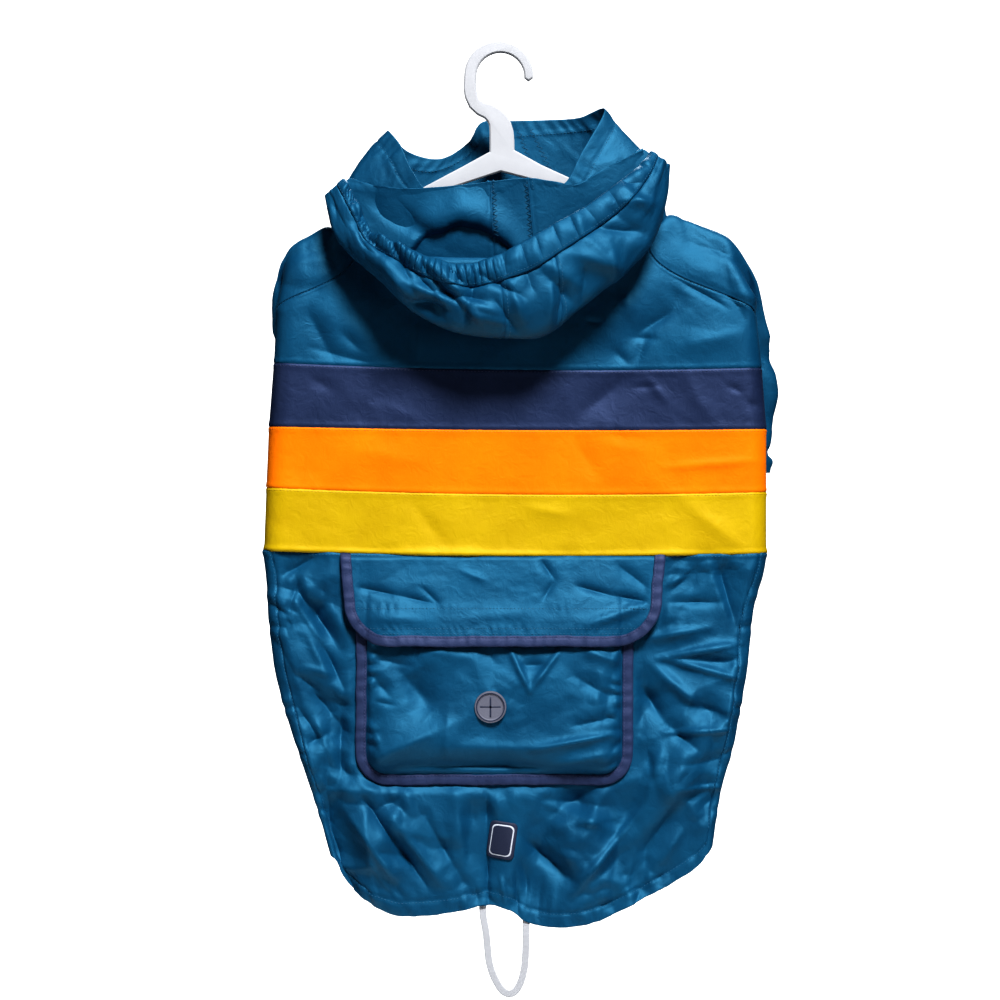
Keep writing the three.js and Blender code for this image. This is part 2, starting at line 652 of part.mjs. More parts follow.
// step runs across the hood, w from the neck seam over the top fold, down inside and up to the rim
function hoodPoint(step, w, gather = 0) {
  const at = (key) => column(HOOD, key, step);
  const full = Math.sin((Math.PI * (step + 0.6)) / (HOOD_LAST + 1.2)) ** 0.75;
  const neck = neckPoint(lerp(-HOOD_TURN, HOOD_TURN, step / HOOD_LAST));
  const foldY = -14 - 19 * full;
  const lowY = -18 - 44 * full;
  const rimY = -17 - 58 * full;
  const sewn = vec(neck.x, neck.y - HOOD_SEWN, neck.z + 2);
  const fold = vec(at("foldX"), foldY, at("foldZ"));
  const low = vec(at("lowX"), lowY, at("lowZ"));
  const rim = vec(at("rimX"), rimY - gather, at("rimZ") + gather * 0.4);
  const between = (a, b, t, y) => vec(lerp(a.x, b.x, t), y, lerp(a.z, b.z, t));
  const knots = [
    sewn,
    between(sewn, fold, 0.6, lerp(sewn.y, foldY, 0.75) + 1),
    fold,
    between(fold, low, 0.5, foldY - 7 * full - 2),
    between(fold, low, 0.86, lerp(foldY - 7 * full, lowY, 0.4)),
    low,
    between(low, rim, 0.35, rimY - 3),
    between(low, rim, 0.75, rimY - 3),
    rim,
  ];
  return curvePoint(knots, w);
}

function hoodPanel(from, to, columns) {
  return clothWall(sampled(12, columns, (u, v) => hoodPoint(lerp(from, to, u), v * (HOOD_CASING - 0.006))),
    { out: -1 });
}

const HOOD_GATHERS = 30;
function hoodCasing() {
  const columns = HOOD_GATHERS * 3;
  return clothWall(sampled(2, columns, (u, v) => {
    const wave = Math.sin(u * columns * ((Math.PI * 2) / 3));
    return hoodPoint(u * HOOD_LAST, lerp(HOOD_CASING, 1, v), 1.5 * wave * (0.35 + 0.65 * v));
  }), { thick: 2.4, out: -1 });
}

// ---- small hard parts ---------------------------------------------------------------------------
const OUTLET = { x: -5.2, z: -524.4, radius: 12.8, thick: 3, rim: 2.4, slot: 1.2, arm: 8, sink: 1 };

function manifoldOf(geometry) {
  const bare = geometry.clone();
  bare.deleteAttribute("normal");
  bare.deleteAttribute("uv");
  const merged = mergeVertices(bare, 1e-4);
  return new wasm.Manifold(new wasm.Mesh({
    numProp: 3,
    vertProperties: new Float32Array(merged.attributes.position.array),
    triVerts: new Uint32Array(merged.index.array),
  }));
}

function geometryOf(manifold) {
  const mesh = manifold.getMesh();
  const geometry = new THREE.BufferGeometry();
  geometry.setAttribute("position", new THREE.Float32BufferAttribute(mesh.vertProperties, 3));
  geometry.setIndex(Array.from(mesh.triVerts));
  geometry.computeVertexNormals();
  return geometry;
}

// a moulded rubber disc with a raised rim and a crossed slit for a lead or a harness ring
function outletButton() {
  const { radius, thick, rim, slot, arm, sink } = OUTLET;
  const profile = [
    [0, 0], [radius, 0], [radius, thick], [radius - 0.6, thick + 0.5],
    [radius - rim, thick + 0.5], [radius - rim - 0.4, thick - 0.3], [0, thick - 0.3],
  ].map(([x, y]) => new THREE.Vector2(x, y));
  const disc = new THREE.LatheGeometry(profile, 32);
  const cut = (wide, high) => {
    const box = new THREE.BoxGeometry(wide, sink * 2, high);
    box.translate(0, thick - 0.3, 0);
    return manifoldOf(box);
  };
  const slits = cut(arm * 2, slot).add(cut(slot, arm * 2));
  const geometry = geometryOf(manifoldOf(disc).subtract(slits));
  geometry.rotateX(Math.PI);
  return geometry;
}

// the disc lies on the highest part of the pocket under its edge
function outletSeat() {
  let nearest = 0;
  for (let i = 0; i < 16; i += 1) {
    const angle = (i / 16) * Math.PI * 2;
    const x = OUTLET.x + OUTLET.radius * Math.cos(angle);
    const z = OUTLET.z + OUTLET.radius * Math.sin(angle);
    nearest = Math.min(nearest, lowerDepth(x, z) - WALL * 2 - pocketLift(x, z));
  }
  return nearest - SEAM;
}

const PATCH = { x: 4, z: -632, width: 22, height: 30, corner: 4, tilt: 0.14 };

// a plain rounded patch, seated on the panel
function patchGeometry() {
  const { width, height, corner } = PATCH;
  const grid = sampled(4, 4, (u, v) => {
    const cornerCut = (t) => (t === 0 || t === 1 ? corner * 0.6 : 0);
    const a = lerp(-width / 2, width / 2, u) * (1 - cornerCut(v) / (width / 2));
    const b = lerp(height / 2, -height / 2, v) * (1 - cornerCut(u) / (height / 2));
    const x = PATCH.x + a * Math.cos(PATCH.tilt) + b * Math.sin(PATCH.tilt);
    const z = PATCH.z - a * Math.sin(PATCH.tilt) + b * Math.cos(PATCH.tilt);
    return vec(x, lowerDepth(x, z) - WALL - 0.6, z);
  });
  return clothWall(grid, { thick: 1.4 });
}

// the elastic loop at the hem, a flat band with both ends inside the hem
const LOOP = { width: 5.6, thick: 1.2 };
const LOOP_ROUTE = [
  [-11.5, -13.2, -679], [-11.2, -13.3, -692], [-8.8, -13.4, -706], [-7.6, -13.5, -718], [-6.4, -13.6, -729],
  [-3.6, -13.7, -739], [0.8, -13.8, -748], [5.2, -13.9, -753.5], [10.4, -14, -755.2], [15.2, -14.1, -752.5],
  [19.2, -14.2, -745], [21.8, -14.3, -735], [22.8, -14.4, -724], [23.2, -14.5, -712], [23.4, -14.6, -700],
  [23.6, -14.75, -688],
];

function tailLoop() {
  const curve = new THREE.CatmullRomCurve3(LOOP_ROUTE.map(([x, y, z]) => vec(x, y, z)));
  const steps = 30;
  const grid = [-1, 1].map((side) => Array.from({ length: steps + 1 }, (_, i) => {
    const point = curve.getPoint(i / steps);
    const tangent = curve.getTangent(i / steps);
    return point.add(vec(-tangent.z, 0, tangent.x).normalize().multiplyScalar((side * LOOP.width) / 2));
  }));
  return clothWall(grid, { thick: LOOP.thick });
}

// ---- the hanger ---------------------------------------------------------------------------------
const HANGER = { depth: 6, bevel: 1.2, armTall: 13, reachLeft: -160, reachRight: 170 };
const HOOK = { x: 2, z: -19, radius: 23.5, tipTurn: -4 };
const RIDGE = { x: 3, z: -69, leftSlope: 0.53, rightSlope: 0.458, below: 6.6 };
// the hook's stem below the round part: centre and width
const STEM = [
  { x: -21.8, z: -24, wide: 10 },
  { x: -21.4, z: -33, wide: 10.5 },
  { x: -16.2, z: -43.2, wide: 11 },
  { x: -6.6, z: -47.6, wide: 13 },
  { x: 0, z: -53.4, wide: 16 },
  { x: 3.2, z: -62, wide: 19 },
  { x: 4, z: -73, wide: 20 },
  { x: 4, z: -84, wide: 20 },
];

function plate(outline) {
  const shape = new THREE.Shape(outline.map(([x, z]) => new THREE.Vector2(x, z)));
  const { depth, bevel } = HANGER;
  const geometry = new THREE.ExtrudeGeometry(shape, {
    depth: depth - 2 * bevel, bevelEnabled: true, bevelThickness: bevel, bevelSize: bevel, bevelOffset: -bevel,
    bevelSegments: 1,
  });
  geometry.rotateX(Math.PI / 2);
  geometry.translate(0, depth / 2 - bevel, 0);
  return geometry;
}

const ridgeHeight = (x) =>
  RIDGE.z - (x < RIDGE.x ? RIDGE.leftSlope * (RIDGE.x - x) : RIDGE.rightSlope * (x - RIDGE.x)) - RIDGE.below;

function hangerGeometry() {
  const centre = [];
  const turns = 18;
  for (let i = 0; i <= turns; i += 1) {
    const angle = THREE.MathUtils.degToRad(lerp(HOOK.tipTurn, 180, i / turns));
    centre.push({
      x: HOOK.x + HOOK.radius * Math.cos(angle),
      z: HOOK.z + HOOK.radius * Math.sin(angle),
      wide: lerp(7, 10, Math.min(1, (i / turns) * 1.6)),
    });
  }
  const stemSteps = 12;
  for (let i = 0; i <= stemSteps; i += 1) {
    const s = (i / stemSteps) * (STEM.length - 1);
    centre.push({ x: column(STEM, "x", s), z: column(STEM, "z", s), wide: column(STEM, "wide", s) });
  }
  const sides = [1, -1].map((side) => centre.map((p, i) => {
    const ahead = centre[Math.min(i + 1, centre.length - 1)];
    const behind = centre[Math.max(i - 1, 0)];
    const along = new THREE.Vector2(ahead.x - behind.x, ahead.z - behind.z).normalize();
    return [p.x - (along.y * side * p.wide) / 2, p.z + (along.x * side * p.wide) / 2];
  }));
  const tip = centre[0];
  const hook = plate([...sides[0], ...sides[1].reverse(), [tip.x - 0.2, tip.z - 2.6]]);
  const { reachLeft, reachRight, armTall } = HANGER;
  const rise = (x) => [x, ridgeHeight(x)];
  const low = (x) => [x, ridgeHeight(x) - armTall];
  const arms = plate([
    rise(reachLeft), rise(-90), rise(-30), [-6, -80], [RIDGE.x, -74], [13, -78],
    rise(36), rise(100), rise(reachRight),
    [reachRight + 4, ridgeHeight(reachRight) - 6], low(reachRight - 3), low(100), low(40), [RIDGE.x, -96],
    low(-34), low(-90), low(reachLeft + 3), [reachLeft - 4, ridgeHeight(reachLeft) - 6],
  ].reverse());
  return geometryOf(manifoldOf(hook).add(manifoldOf(arms)));
}

// ---- the whole ----------------------------------------------------------------------------------
const finishes = {
  teal: new THREE.MeshStandardMaterial({ color: 0x14587c, roughness: 0.5, metalness: 0 }),
  navy: new THREE.MeshStandardMaterial({ color: 0x272f55, roughness: 0.6, metalness: 0 }),
  orange: new THREE.MeshStandardMaterial({ color: 0xf8720d, roughness: 0.6, metalness: 0 }),
  yellow: new THREE.MeshStandardMaterial({ color: 0xd9ab06, roughness: 0.6, metalness: 0 }),
  rubber: new THREE.MeshStandardMaterial({ color: 0x3a4a5e, roughness: 0.7, metalness: 0 }),
  elastic: new THREE.MeshStandardMaterial({ color: 0xeeeeee, roughness: 0.9, metalness: 0 }),
  plastic: new THREE.MeshStandardMaterial({ color: 0xf4f4f6, roughness: 0.35, metalness: 0 }),
};

const jacket = new THREE.Group();
function addPiece(name, geometry, finish) {
  const mesh = new THREE.Mesh(geometry, finishes[finish]);
  mesh.name = name;
  jacket.add(mesh);
  return mesh;
}

addPiece("hanger", hangerGeometry(), "plastic");
addPiece("back_yoke", clothWall(sampled(YOKE_ROWS, 32, yokePoint)), "teal");
addPiece("stripe_navy", stripePanel(CROSS_SEAMS.yokeNavy, CROSS_SEAMS.navyOrange), "navy");
addPiece("stripe_orange", stripePanel(CROSS_SEAMS.navyOrange, CROSS_SEAMS.orangeYellow), "orange");
addPiece("stripe_yellow", stripePanel(CROSS_SEAMS.orangeYellow, CROSS_SEAMS.yellowLower), "yellow");
addPiece("back_lower", clothWall(LOWER_GRID), "teal");
addPiece("belly_panel", clothWall(sampled(11, 12, (u, v) => bellyPoint(u, bellyRow(v))), { out: -1 }), "teal");
addPiece("sleeve_left", clothWall(sleeveGrid(SLEEVES.left), { out: -1 }), "teal");
addPiece("sleeve_right", clothWall(sleeveGrid(SLEEVES.right)), "teal");
addPiece("collar", clothWall(collarGrid()), "teal");
addPiece("hood_left", hoodPanel(0, HOOD_STRIP.from - 0.03, 16), "teal");
addPiece("hood_centre", hoodPanel(HOOD_STRIP.from, HOOD_STRIP.to, 4), "teal");
addPiece("hood_right", hoodPanel(HOOD_STRIP.to + 0.03, HOOD_LAST, 12), "teal");
addPiece("hood_casing", hoodCasing(), "teal");
addPiece("pocket", clothWall(pouchGrid(POCKET, 8, pocketLift), { out: -1 }), "teal");
addPiece("pocket_binding", bindingStrip(POCKET, pocketLift, 0.5), "navy");
addPiece("flap", clothWall(pouchGrid(FLAP, 6, flapLift), { out: -1 }), "teal");
addPiece("flap_binding", bindingStrip(FLAP, flapLift, 1.55), "navy");
addPiece("patch", patchGeometry(), "rubber");
addPiece("tail_loop", tailLoop(), "elastic");
const button = addPiece("outlet_button", outletButton(), "rubber");
button.position.set(OUTLET.x, outletSeat(), OUTLET.z);

export default jacket;
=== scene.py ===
import math

import bpy
import numpy as np
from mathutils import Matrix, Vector


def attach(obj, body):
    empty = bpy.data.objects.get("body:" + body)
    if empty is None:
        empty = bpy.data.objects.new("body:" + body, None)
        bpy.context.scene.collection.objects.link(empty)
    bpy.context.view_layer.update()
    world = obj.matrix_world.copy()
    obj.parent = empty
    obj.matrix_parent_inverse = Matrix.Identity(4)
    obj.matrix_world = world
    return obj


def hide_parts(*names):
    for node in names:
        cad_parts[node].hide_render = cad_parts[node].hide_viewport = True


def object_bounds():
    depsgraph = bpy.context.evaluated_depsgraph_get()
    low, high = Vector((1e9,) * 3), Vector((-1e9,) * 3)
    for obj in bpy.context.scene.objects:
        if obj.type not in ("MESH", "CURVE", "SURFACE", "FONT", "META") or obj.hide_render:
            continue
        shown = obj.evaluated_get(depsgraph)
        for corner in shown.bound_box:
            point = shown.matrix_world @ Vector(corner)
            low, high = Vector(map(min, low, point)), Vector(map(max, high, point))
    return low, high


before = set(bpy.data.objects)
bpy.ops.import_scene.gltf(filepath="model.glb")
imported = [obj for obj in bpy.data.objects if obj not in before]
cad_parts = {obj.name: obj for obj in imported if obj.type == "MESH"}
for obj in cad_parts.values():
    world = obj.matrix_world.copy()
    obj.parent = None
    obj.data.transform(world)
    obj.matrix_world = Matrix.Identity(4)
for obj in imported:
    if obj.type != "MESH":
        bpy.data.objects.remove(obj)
cad_low, cad_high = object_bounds()

# ---- the stage ----------------------------------------------------------------------------------
# A round pale floor under the jacket in a white room, and plain studio light: one soft key light
# high in front, weak fills low on both sides, and a large one high behind for the far side.
FLOOR = {"drop": 0.8, "radius": 1.3, "corners": 96}

def feed(node, inputs):
    """Fills a node's inputs: a socket is linked, anything else is set as the input's own value."""
    for label, value in inputs.items():
        if isinstance(value, bpy.types.NodeSocket):
            node.id_data.links.new(value, node.inputs[label])
        else:
            node.inputs[label].default_value = value

def add_node(tree, kind, inputs, **settings):
    node = tree.nodes.new(kind)
    for key, value in settings.items():
        setattr(node, key, value)
    feed(node, inputs)
    return node

def new_material(name):
    """A new material, its node tree and its shader."""
    material = bpy.data.materials.new(name)
    material.use_nodes = True
    return material, material.node_tree, material.node_tree.nodes["Principled BSDF"]

def two_toned(tree, share, dark, light, span=(0, 1)):
    """A colour that goes from dark to light as share goes over span."""
    ramp = add_node(tree, "ShaderNodeValToRGB", {"Fac": share})
    for end, place, colour in zip(ramp.color_ramp.elements, span, (dark, light)):
        end.position = place
        end.color = (*colour, 1)
    return ramp.outputs["Color"]

def grained(name, scale, dark, light, roughness, relief=None, detail=2):
    """A material with an even grain in its tone, raised by relief: a strength and a distance."""
    material, tree, shader = new_material(name)
    place = add_node(tree, "ShaderNodeTexCoord", {}).outputs["Object"]
    noise = add_node(tree, "ShaderNodeTexNoise", {"Vector": place, "Scale": scale, "Detail": detail})
    grain = noise.outputs["Fac"]
    feed(shader, {"Base Color": two_toned(tree, grain, dark, light), "Roughness": roughness})
    if relief:
        strength, distance = relief
        bump = add_node(tree, "ShaderNodeBump",
                        {"Height": grain, "Strength": strength, "Distance": distance})
        feed(shader, {"Normal": bump.outputs["Normal"]})
    return material

def pale_paper():
    return grained("pale_paper", 30, (0.90, 0.90, 0.90), (0.93, 0.93, 0.93), 0.9)

def studio_floor():
    ground = cad_low.z - FLOOR["drop"]
    turns = [2 * math.pi * k / FLOOR["corners"] for k in range(FLOOR["corners"])]
    points = [(FLOOR["radius"] * math.cos(t), FLOOR["radius"] * math.sin(t), ground) for t in turns]
    mesh = bpy.data.meshes.new("studio_floor")
    mesh.from_pydata(points, [], [tuple(range(FLOOR["corners"]))])
    floor = bpy.data.objects.new("studio_floor", mesh)
    bpy.context.scene.collection.objects.link(floor)
    mesh.materials.append(pale_paper())

studio_floor()

def soft_light(name, place, aim, size, power):
    data = bpy.data.lights.new(name, "AREA")
    data.shape, data.size, data.energy = "SQUARE", size, power
    light = bpy.data.objects.new(name, data)
    bpy.context.scene.collection.objects.link(light)
    light.location = place
    light.rotation_euler = (Vector(aim) - Vector(place)).to_track_quat("-Z", "Y").to_euler()

JACKET_MIDDLE = (cad_low + cad_high) / 2
key_data = bpy.data.lights.new("key_light", "SPOT")
key_data.energy, key_data.shadow_soft_size = 2800, 0.95
key_data.spot_size, key_data.spot_blend = math.radians(30), 0.2
key_light = bpy.data.objects.new("key_light", key_data)
bpy.context.scene.collection.objects.link(key_light)
key_light.location = (1.3, -4.5, 4.7)
key_light.rotation_euler = (JACKET_MIDDLE - key_light.location).to_track_quat("-Z", "Y").to_euler()
soft_light("side_light", (-1.9, -1.0, 0.1), JACKET_MIDDLE, 0.6, 5)
soft_light("fill_light", (1.4, -2.2, -0.2), JACKET_MIDDLE, 0.9, 6)
soft_light("far_light", (0.3, 2.7, 1.9), JACKET_MIDDLE, 1.8, 105)

world = bpy.data.worlds.new("white_room")
world.use_nodes = True
world.node_tree.nodes["Background"].inputs["Color"].default_value = (1, 1, 1, 1)
world.node_tree.nodes["Background"].inputs["Strength"].default_value = 1.3
bpy.context.scene.world = world
world.cycles_visibility.diffuse = False
world.cycles_visibility.glossy = False
bpy.context.scene.view_settings.view_transform = "Standard"
bpy.context.scene.view_settings.look = "High Contrast"

CAMERA = {"x": 0.0024, "z": -0.360, "distance": 2.6, "span": 0.8}
camera_data = bpy.data.cameras.new("camera")
camera_data.sensor_width = 36
camera_data.lens = 36 * CAMERA["distance"] / CAMERA["span"]
camera = bpy.data.objects.new("camera", camera_data)
camera.location = (CAMERA["x"], -CAMERA["distance"] - 0.015, CAMERA["z"])
camera.rotation_euler = (math.pi / 2, 0, 0)
bpy.context.scene.collection.objects.link(camera)
bpy.context.scene.camera = camera

# ---- the elastic loop at the hem ----------------------------------------------------------------
# A flat woven elastic tape, white, folded to a loop for the tail; both ends run up close behind the
# hem. Sizes here and below are in millimetres.
LOOP_WIDTH, LOOP_THICK, LOOP_STEPS = 5.6, 1.2, 160
LOOP_ROUTE = [
    (-11.5, -11.6, -679), (-11.2, -12.4, -692), (-8.8, -13.4, -706), (-7.6, -13.5, -718),
    (-6.4, -13.6, -729), (-3.6, -13.7, -739), (0.8, -13.8, -748), (5.2, -13.9, -753.5),
    (10.4, -14, -755.2), (15.2, -14.1, -752.5), (19.2, -14.2, -745), (21.8, -14.3, -735),
    (22.8, -14.4, -724), (23.2, -14.5, -712), (23.4, -13.9, -700), (23.6, -13.0, -688),
]

def spline(before, here, after, beyond, part):
    return 0.5 * (2 * here + (after - before) * part
                  + (2 * before - 5 * here + 4 * after - beyond) * part ** 2
                  + (3 * here - before - 3 * after + beyond) * part ** 3)

def through(values, step):
    """A smooth curve through evenly spaced rows of values, read at each step (Catmull-Rom)."""
    values = np.asarray(values, float)
    last = len(values) - 1
    padded = np.concatenate([[2 * values[0] - values[1]], values, [2 * values[-1] - values[-2]]])
    first = np.clip(np.floor(step).astype(int), 0, last - 1)
    part = (step - first).reshape(first.shape + (1,) * (values.ndim - 1))
    return spline(padded[first], padded[first + 1], padded[first + 2], padded[first + 3], part)

def wall(name, grid, inner, outer, uv=None, joined=False, flip=False):
    """A closed thin shell round a grid of points, from inner to outer along its normals."""
    rows, columns = grid.shape[:2]
    if joined:
        down = np.gradient(grid, axis=0)
        across = np.roll(grid, -1, axis=1) - np.roll(grid, 1, axis=1)
    else:
        down, across = np.gradient(grid, axis=0), np.gradient(grid, axis=1)
    normal = np.cross(down, across) * (-1 if flip else 1)
    normal /= np.maximum(np.linalg.norm(normal, axis=2, keepdims=True), 1e-9)
    inner, outer = (np.broadcast_to(offset, grid.shape[:2])[..., None] for offset in (inner, outer))
    points = np.concatenate([(grid + normal * offset).reshape(-1, 3) for offset in (outer, inner)])
    index = np.arange(rows * columns).reshape(rows, columns)
    right = np.roll(index, -1, axis=1) if joined else index[:, 1:]
    left = index if joined else index[:, :-1]
    a, b, c, d = left[:-1], right[:-1], right[1:], left[1:]
    quads = np.stack([a, d, c, b], axis=-1).reshape(-1, 4)
    if flip:
        quads = quads[:, ::-1]
    back = quads[:, ::-1] + rows * columns
    rims = [index[0], index[-1][::-1]]
    if joined:
        rims = [np.append(index[0], index[0][0]), np.append(index[-1], index[-1][0])[::-1]]
        edges = [np.stack([r[:-1], r[1:]], axis=-1) for r in rims]
    else:
        rim = np.concatenate([index[0], index[1:, -1], index[-1, -2::-1], index[-2::-1, 0]])
        edges = [np.stack([rim[:-1], rim[1:]], axis=-1)]
    side = np.concatenate(edges)
    if flip:
        side = side[:, ::-1]
    here, there = side[:, 0], side[:, 1]
    band = np.stack([here, there, there + rows * columns, here + rows * columns], axis=-1)
    faces = np.concatenate([quads, back, band])
    mesh = bpy.data.meshes.new(name)
    mesh.vertices.add(len(points))
    mesh.vertices.foreach_set("co", (points * 0.001).astype(np.float32).ravel())
    mesh.loops.add(faces.size)
    mesh.loops.foreach_set("vertex_index", faces.astype(np.int32).ravel())
    mesh.polygons.add(len(faces))
    mesh.polygons.foreach_set("loop_start", np.arange(0, faces.size, 4, dtype=np.int32))
    mesh.update(calc_edges=True)
    mesh.validate()
    if uv is not None:
        flat = np.tile(uv.reshape(-1, 2) * 0.001, (2, 1))
        layer = mesh.uv_layers.new(name="UVMap")
        layer.data.foreach_set("uv", flat[faces.ravel()].astype(np.float32).ravel())
    mesh.shade_smooth()
    piece = bpy.data.objects.new(name, mesh)
    bpy.context.scene.collection.objects.link(piece)
    return piece

def elastic_tape():
    tape, tree, shader = new_material("elastic_tape")
    uv = add_node(tree, "ShaderNodeUVMap", {}, uv_map="UVMap").outputs["UV"]
    ribs = add_node(tree, "ShaderNodeTexWave", {"Vector": uv, "Scale": 320}, bands_direction="Y")
    bump = add_node(tree, "ShaderNodeBump",
                    {"Height": ribs.outputs["Color"], "Strength": 0.5, "Distance": 0.0003})
    feed(shader, {"Base Color": (0.42, 0.43, 0.46, 1), "Roughness": 0.85, "Sheen Weight": 0.2,
                  "Normal": bump.outputs["Normal"]})
    return tape

def tail_loop():
    path = through(LOOP_ROUTE, np.linspace(0, len(LOOP_ROUTE) - 1, LOOP_STEPS))
    along = np.gradient(path, axis=0)
    along /= np.linalg.norm(along, axis=1, keepdims=True)
    aside = np.stack([-along[:, 2], 0 * along[:, 0], along[:, 0]], axis=-1)
    aside /= np.linalg.norm(aside, axis=1, keepdims=True)
    spread = np.linspace(-1, 1, 9)
    crown = 0.12 * spread ** 2
    grid = path[None] + aside[None] * (spread[:, None, None] * LOOP_WIDTH / 2)
    grid[..., 1] += crown[:, None]
    run = np.concatenate([[0], np.cumsum(np.linalg.norm(np.diff(path, axis=0), axis=1))])
    uv = np.stack(np.broadcast_arrays(spread[:, None] * LOOP_WIDTH / 2, run[None]), axis=-1)
    piece = wall("tail_loop_tape", grid, 0.0, LOOP_THICK, uv)
    piece.data.materials.append(elastic_tape())
    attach(piece, "root")
    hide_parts("tail_loop")

tail_loop()

# ---- the body: the flattened tube, its cloth, and its sewing ------------------------------------
# The back is cut in five pieces: a yoke, three bands and a long lower panel. The cloth is a thin
# plain-woven polyester that holds sharp creases; seams are felled down and stitched along the edge.
WALL = 1.6
BINDING_WIDTH = 8
HEM_SPLIT = 18
# each kind of shell: how far its two faces lie out from the grid of points that it is made from
PANEL_SHELL, POUCH_SHELL, CASING_SHELL = (0.5, 1.2), (0.1, 0.8), (-1.2, 1.0)
# and how far out its stitches lie
STITCH_AT = {"panel": 1.25, "pouch": 0.85, "casing": 1.05, "wrong_side": 0.4}
BODY_ROWS = {
    "z": (-128, -140, -152, -166, -184, -214, -250, -302, -350, -406),
    "left": (-112, -136, -161, -176, -180, -178, -180, -184, -186, -188),
    "right": (139, 168, 190, 201, 208, 209, 213, 217, 217, 217),
    "deep": (11, 12, 13, 14, 15, 15, 15, 15, 15, 15),
}
BODY_MIDDLE, BODY_TOP = 15, -121.0
# each cross seam: its height at the left fold, the middle and the right fold
YOKE_SEAM = (-250, -256, -254)
NAVY_SEAM = (-301, -304, -303)
ORANGE_SEAM = (-350, -355.5, -353.5)
YELLOW_SEAM = (-400, -404.5, -402.5)
NECK = {"middle": 4, "half_width": 131, "half_depth": 21, "top": -136, "drop": 38, "tilt": 0.036}
RAGLAN_TURN, RAGLAN_SLANT, YOKE_SPREAD = 62, 0.7, 430

def mix(a, b, part):
    return a + (b - a) * part

def ease(part):
    part = np.clip(part, 0, 1)
    return part * part * (3 - 2 * part)

def read_row(key, z):
    heights = np.asarray(BODY_ROWS["z"][::-1], float)
    values = np.asarray(BODY_ROWS[key][::-1], float)
    inside = np.interp(z, heights, values)
    slope = (values[-1] - values[-2]) / (heights[-1] - heights[-2])
    return np.where(z > heights[-1], values[-1] + slope * (np.minimum(z, BODY_TOP) - heights[-1]), inside)

def body_half(z):
    left, right = read_row("left", z), read_row("right", z)
    return (left + right) / 2, (right - left) / 2 - WALL, read_row("deep", z)

def seam_reach(z):
    middle, half, deep = body_half(z)
    return half - deep + math.pi * deep + HEM_SPLIT

def cross_seam(seam, distance, reach):
    left, centre, right = seam
    part = np.clip(distance / reach, -1, 1)
    return centre + (right - left) / 2 * part + ((left + right) / 2 - centre) * part ** 2

# the largest folds of the back, as x0, z0, x1, z1, how wide and how high (troughs are negative)
FOLDS = [
    (-9, -596, -9, -684, 9, -4), (-28, -600, -30, -680, 11, 3), (14, -600, 12, -690, 10, 3),
    (-125, -590, -58, -680, 11, 6), (-92, -604, -36, -676, 9, 4), (178, -522, 120, -610, 12, 6),
    (120, -610, 62, -684, 12, 7), (150, -600, 96, -668, 9, -4), (196, -478, 150, -486, 8, 4),
    (190, -542, 146, -520, 8, -4), (-172, -452, -132, -560, 12, 4), (158, -190, 92, -244, 10, -4),
    (128, -188, 62, -226, 12, 3), (-148, -206, -92, -246, 13, 3),
]
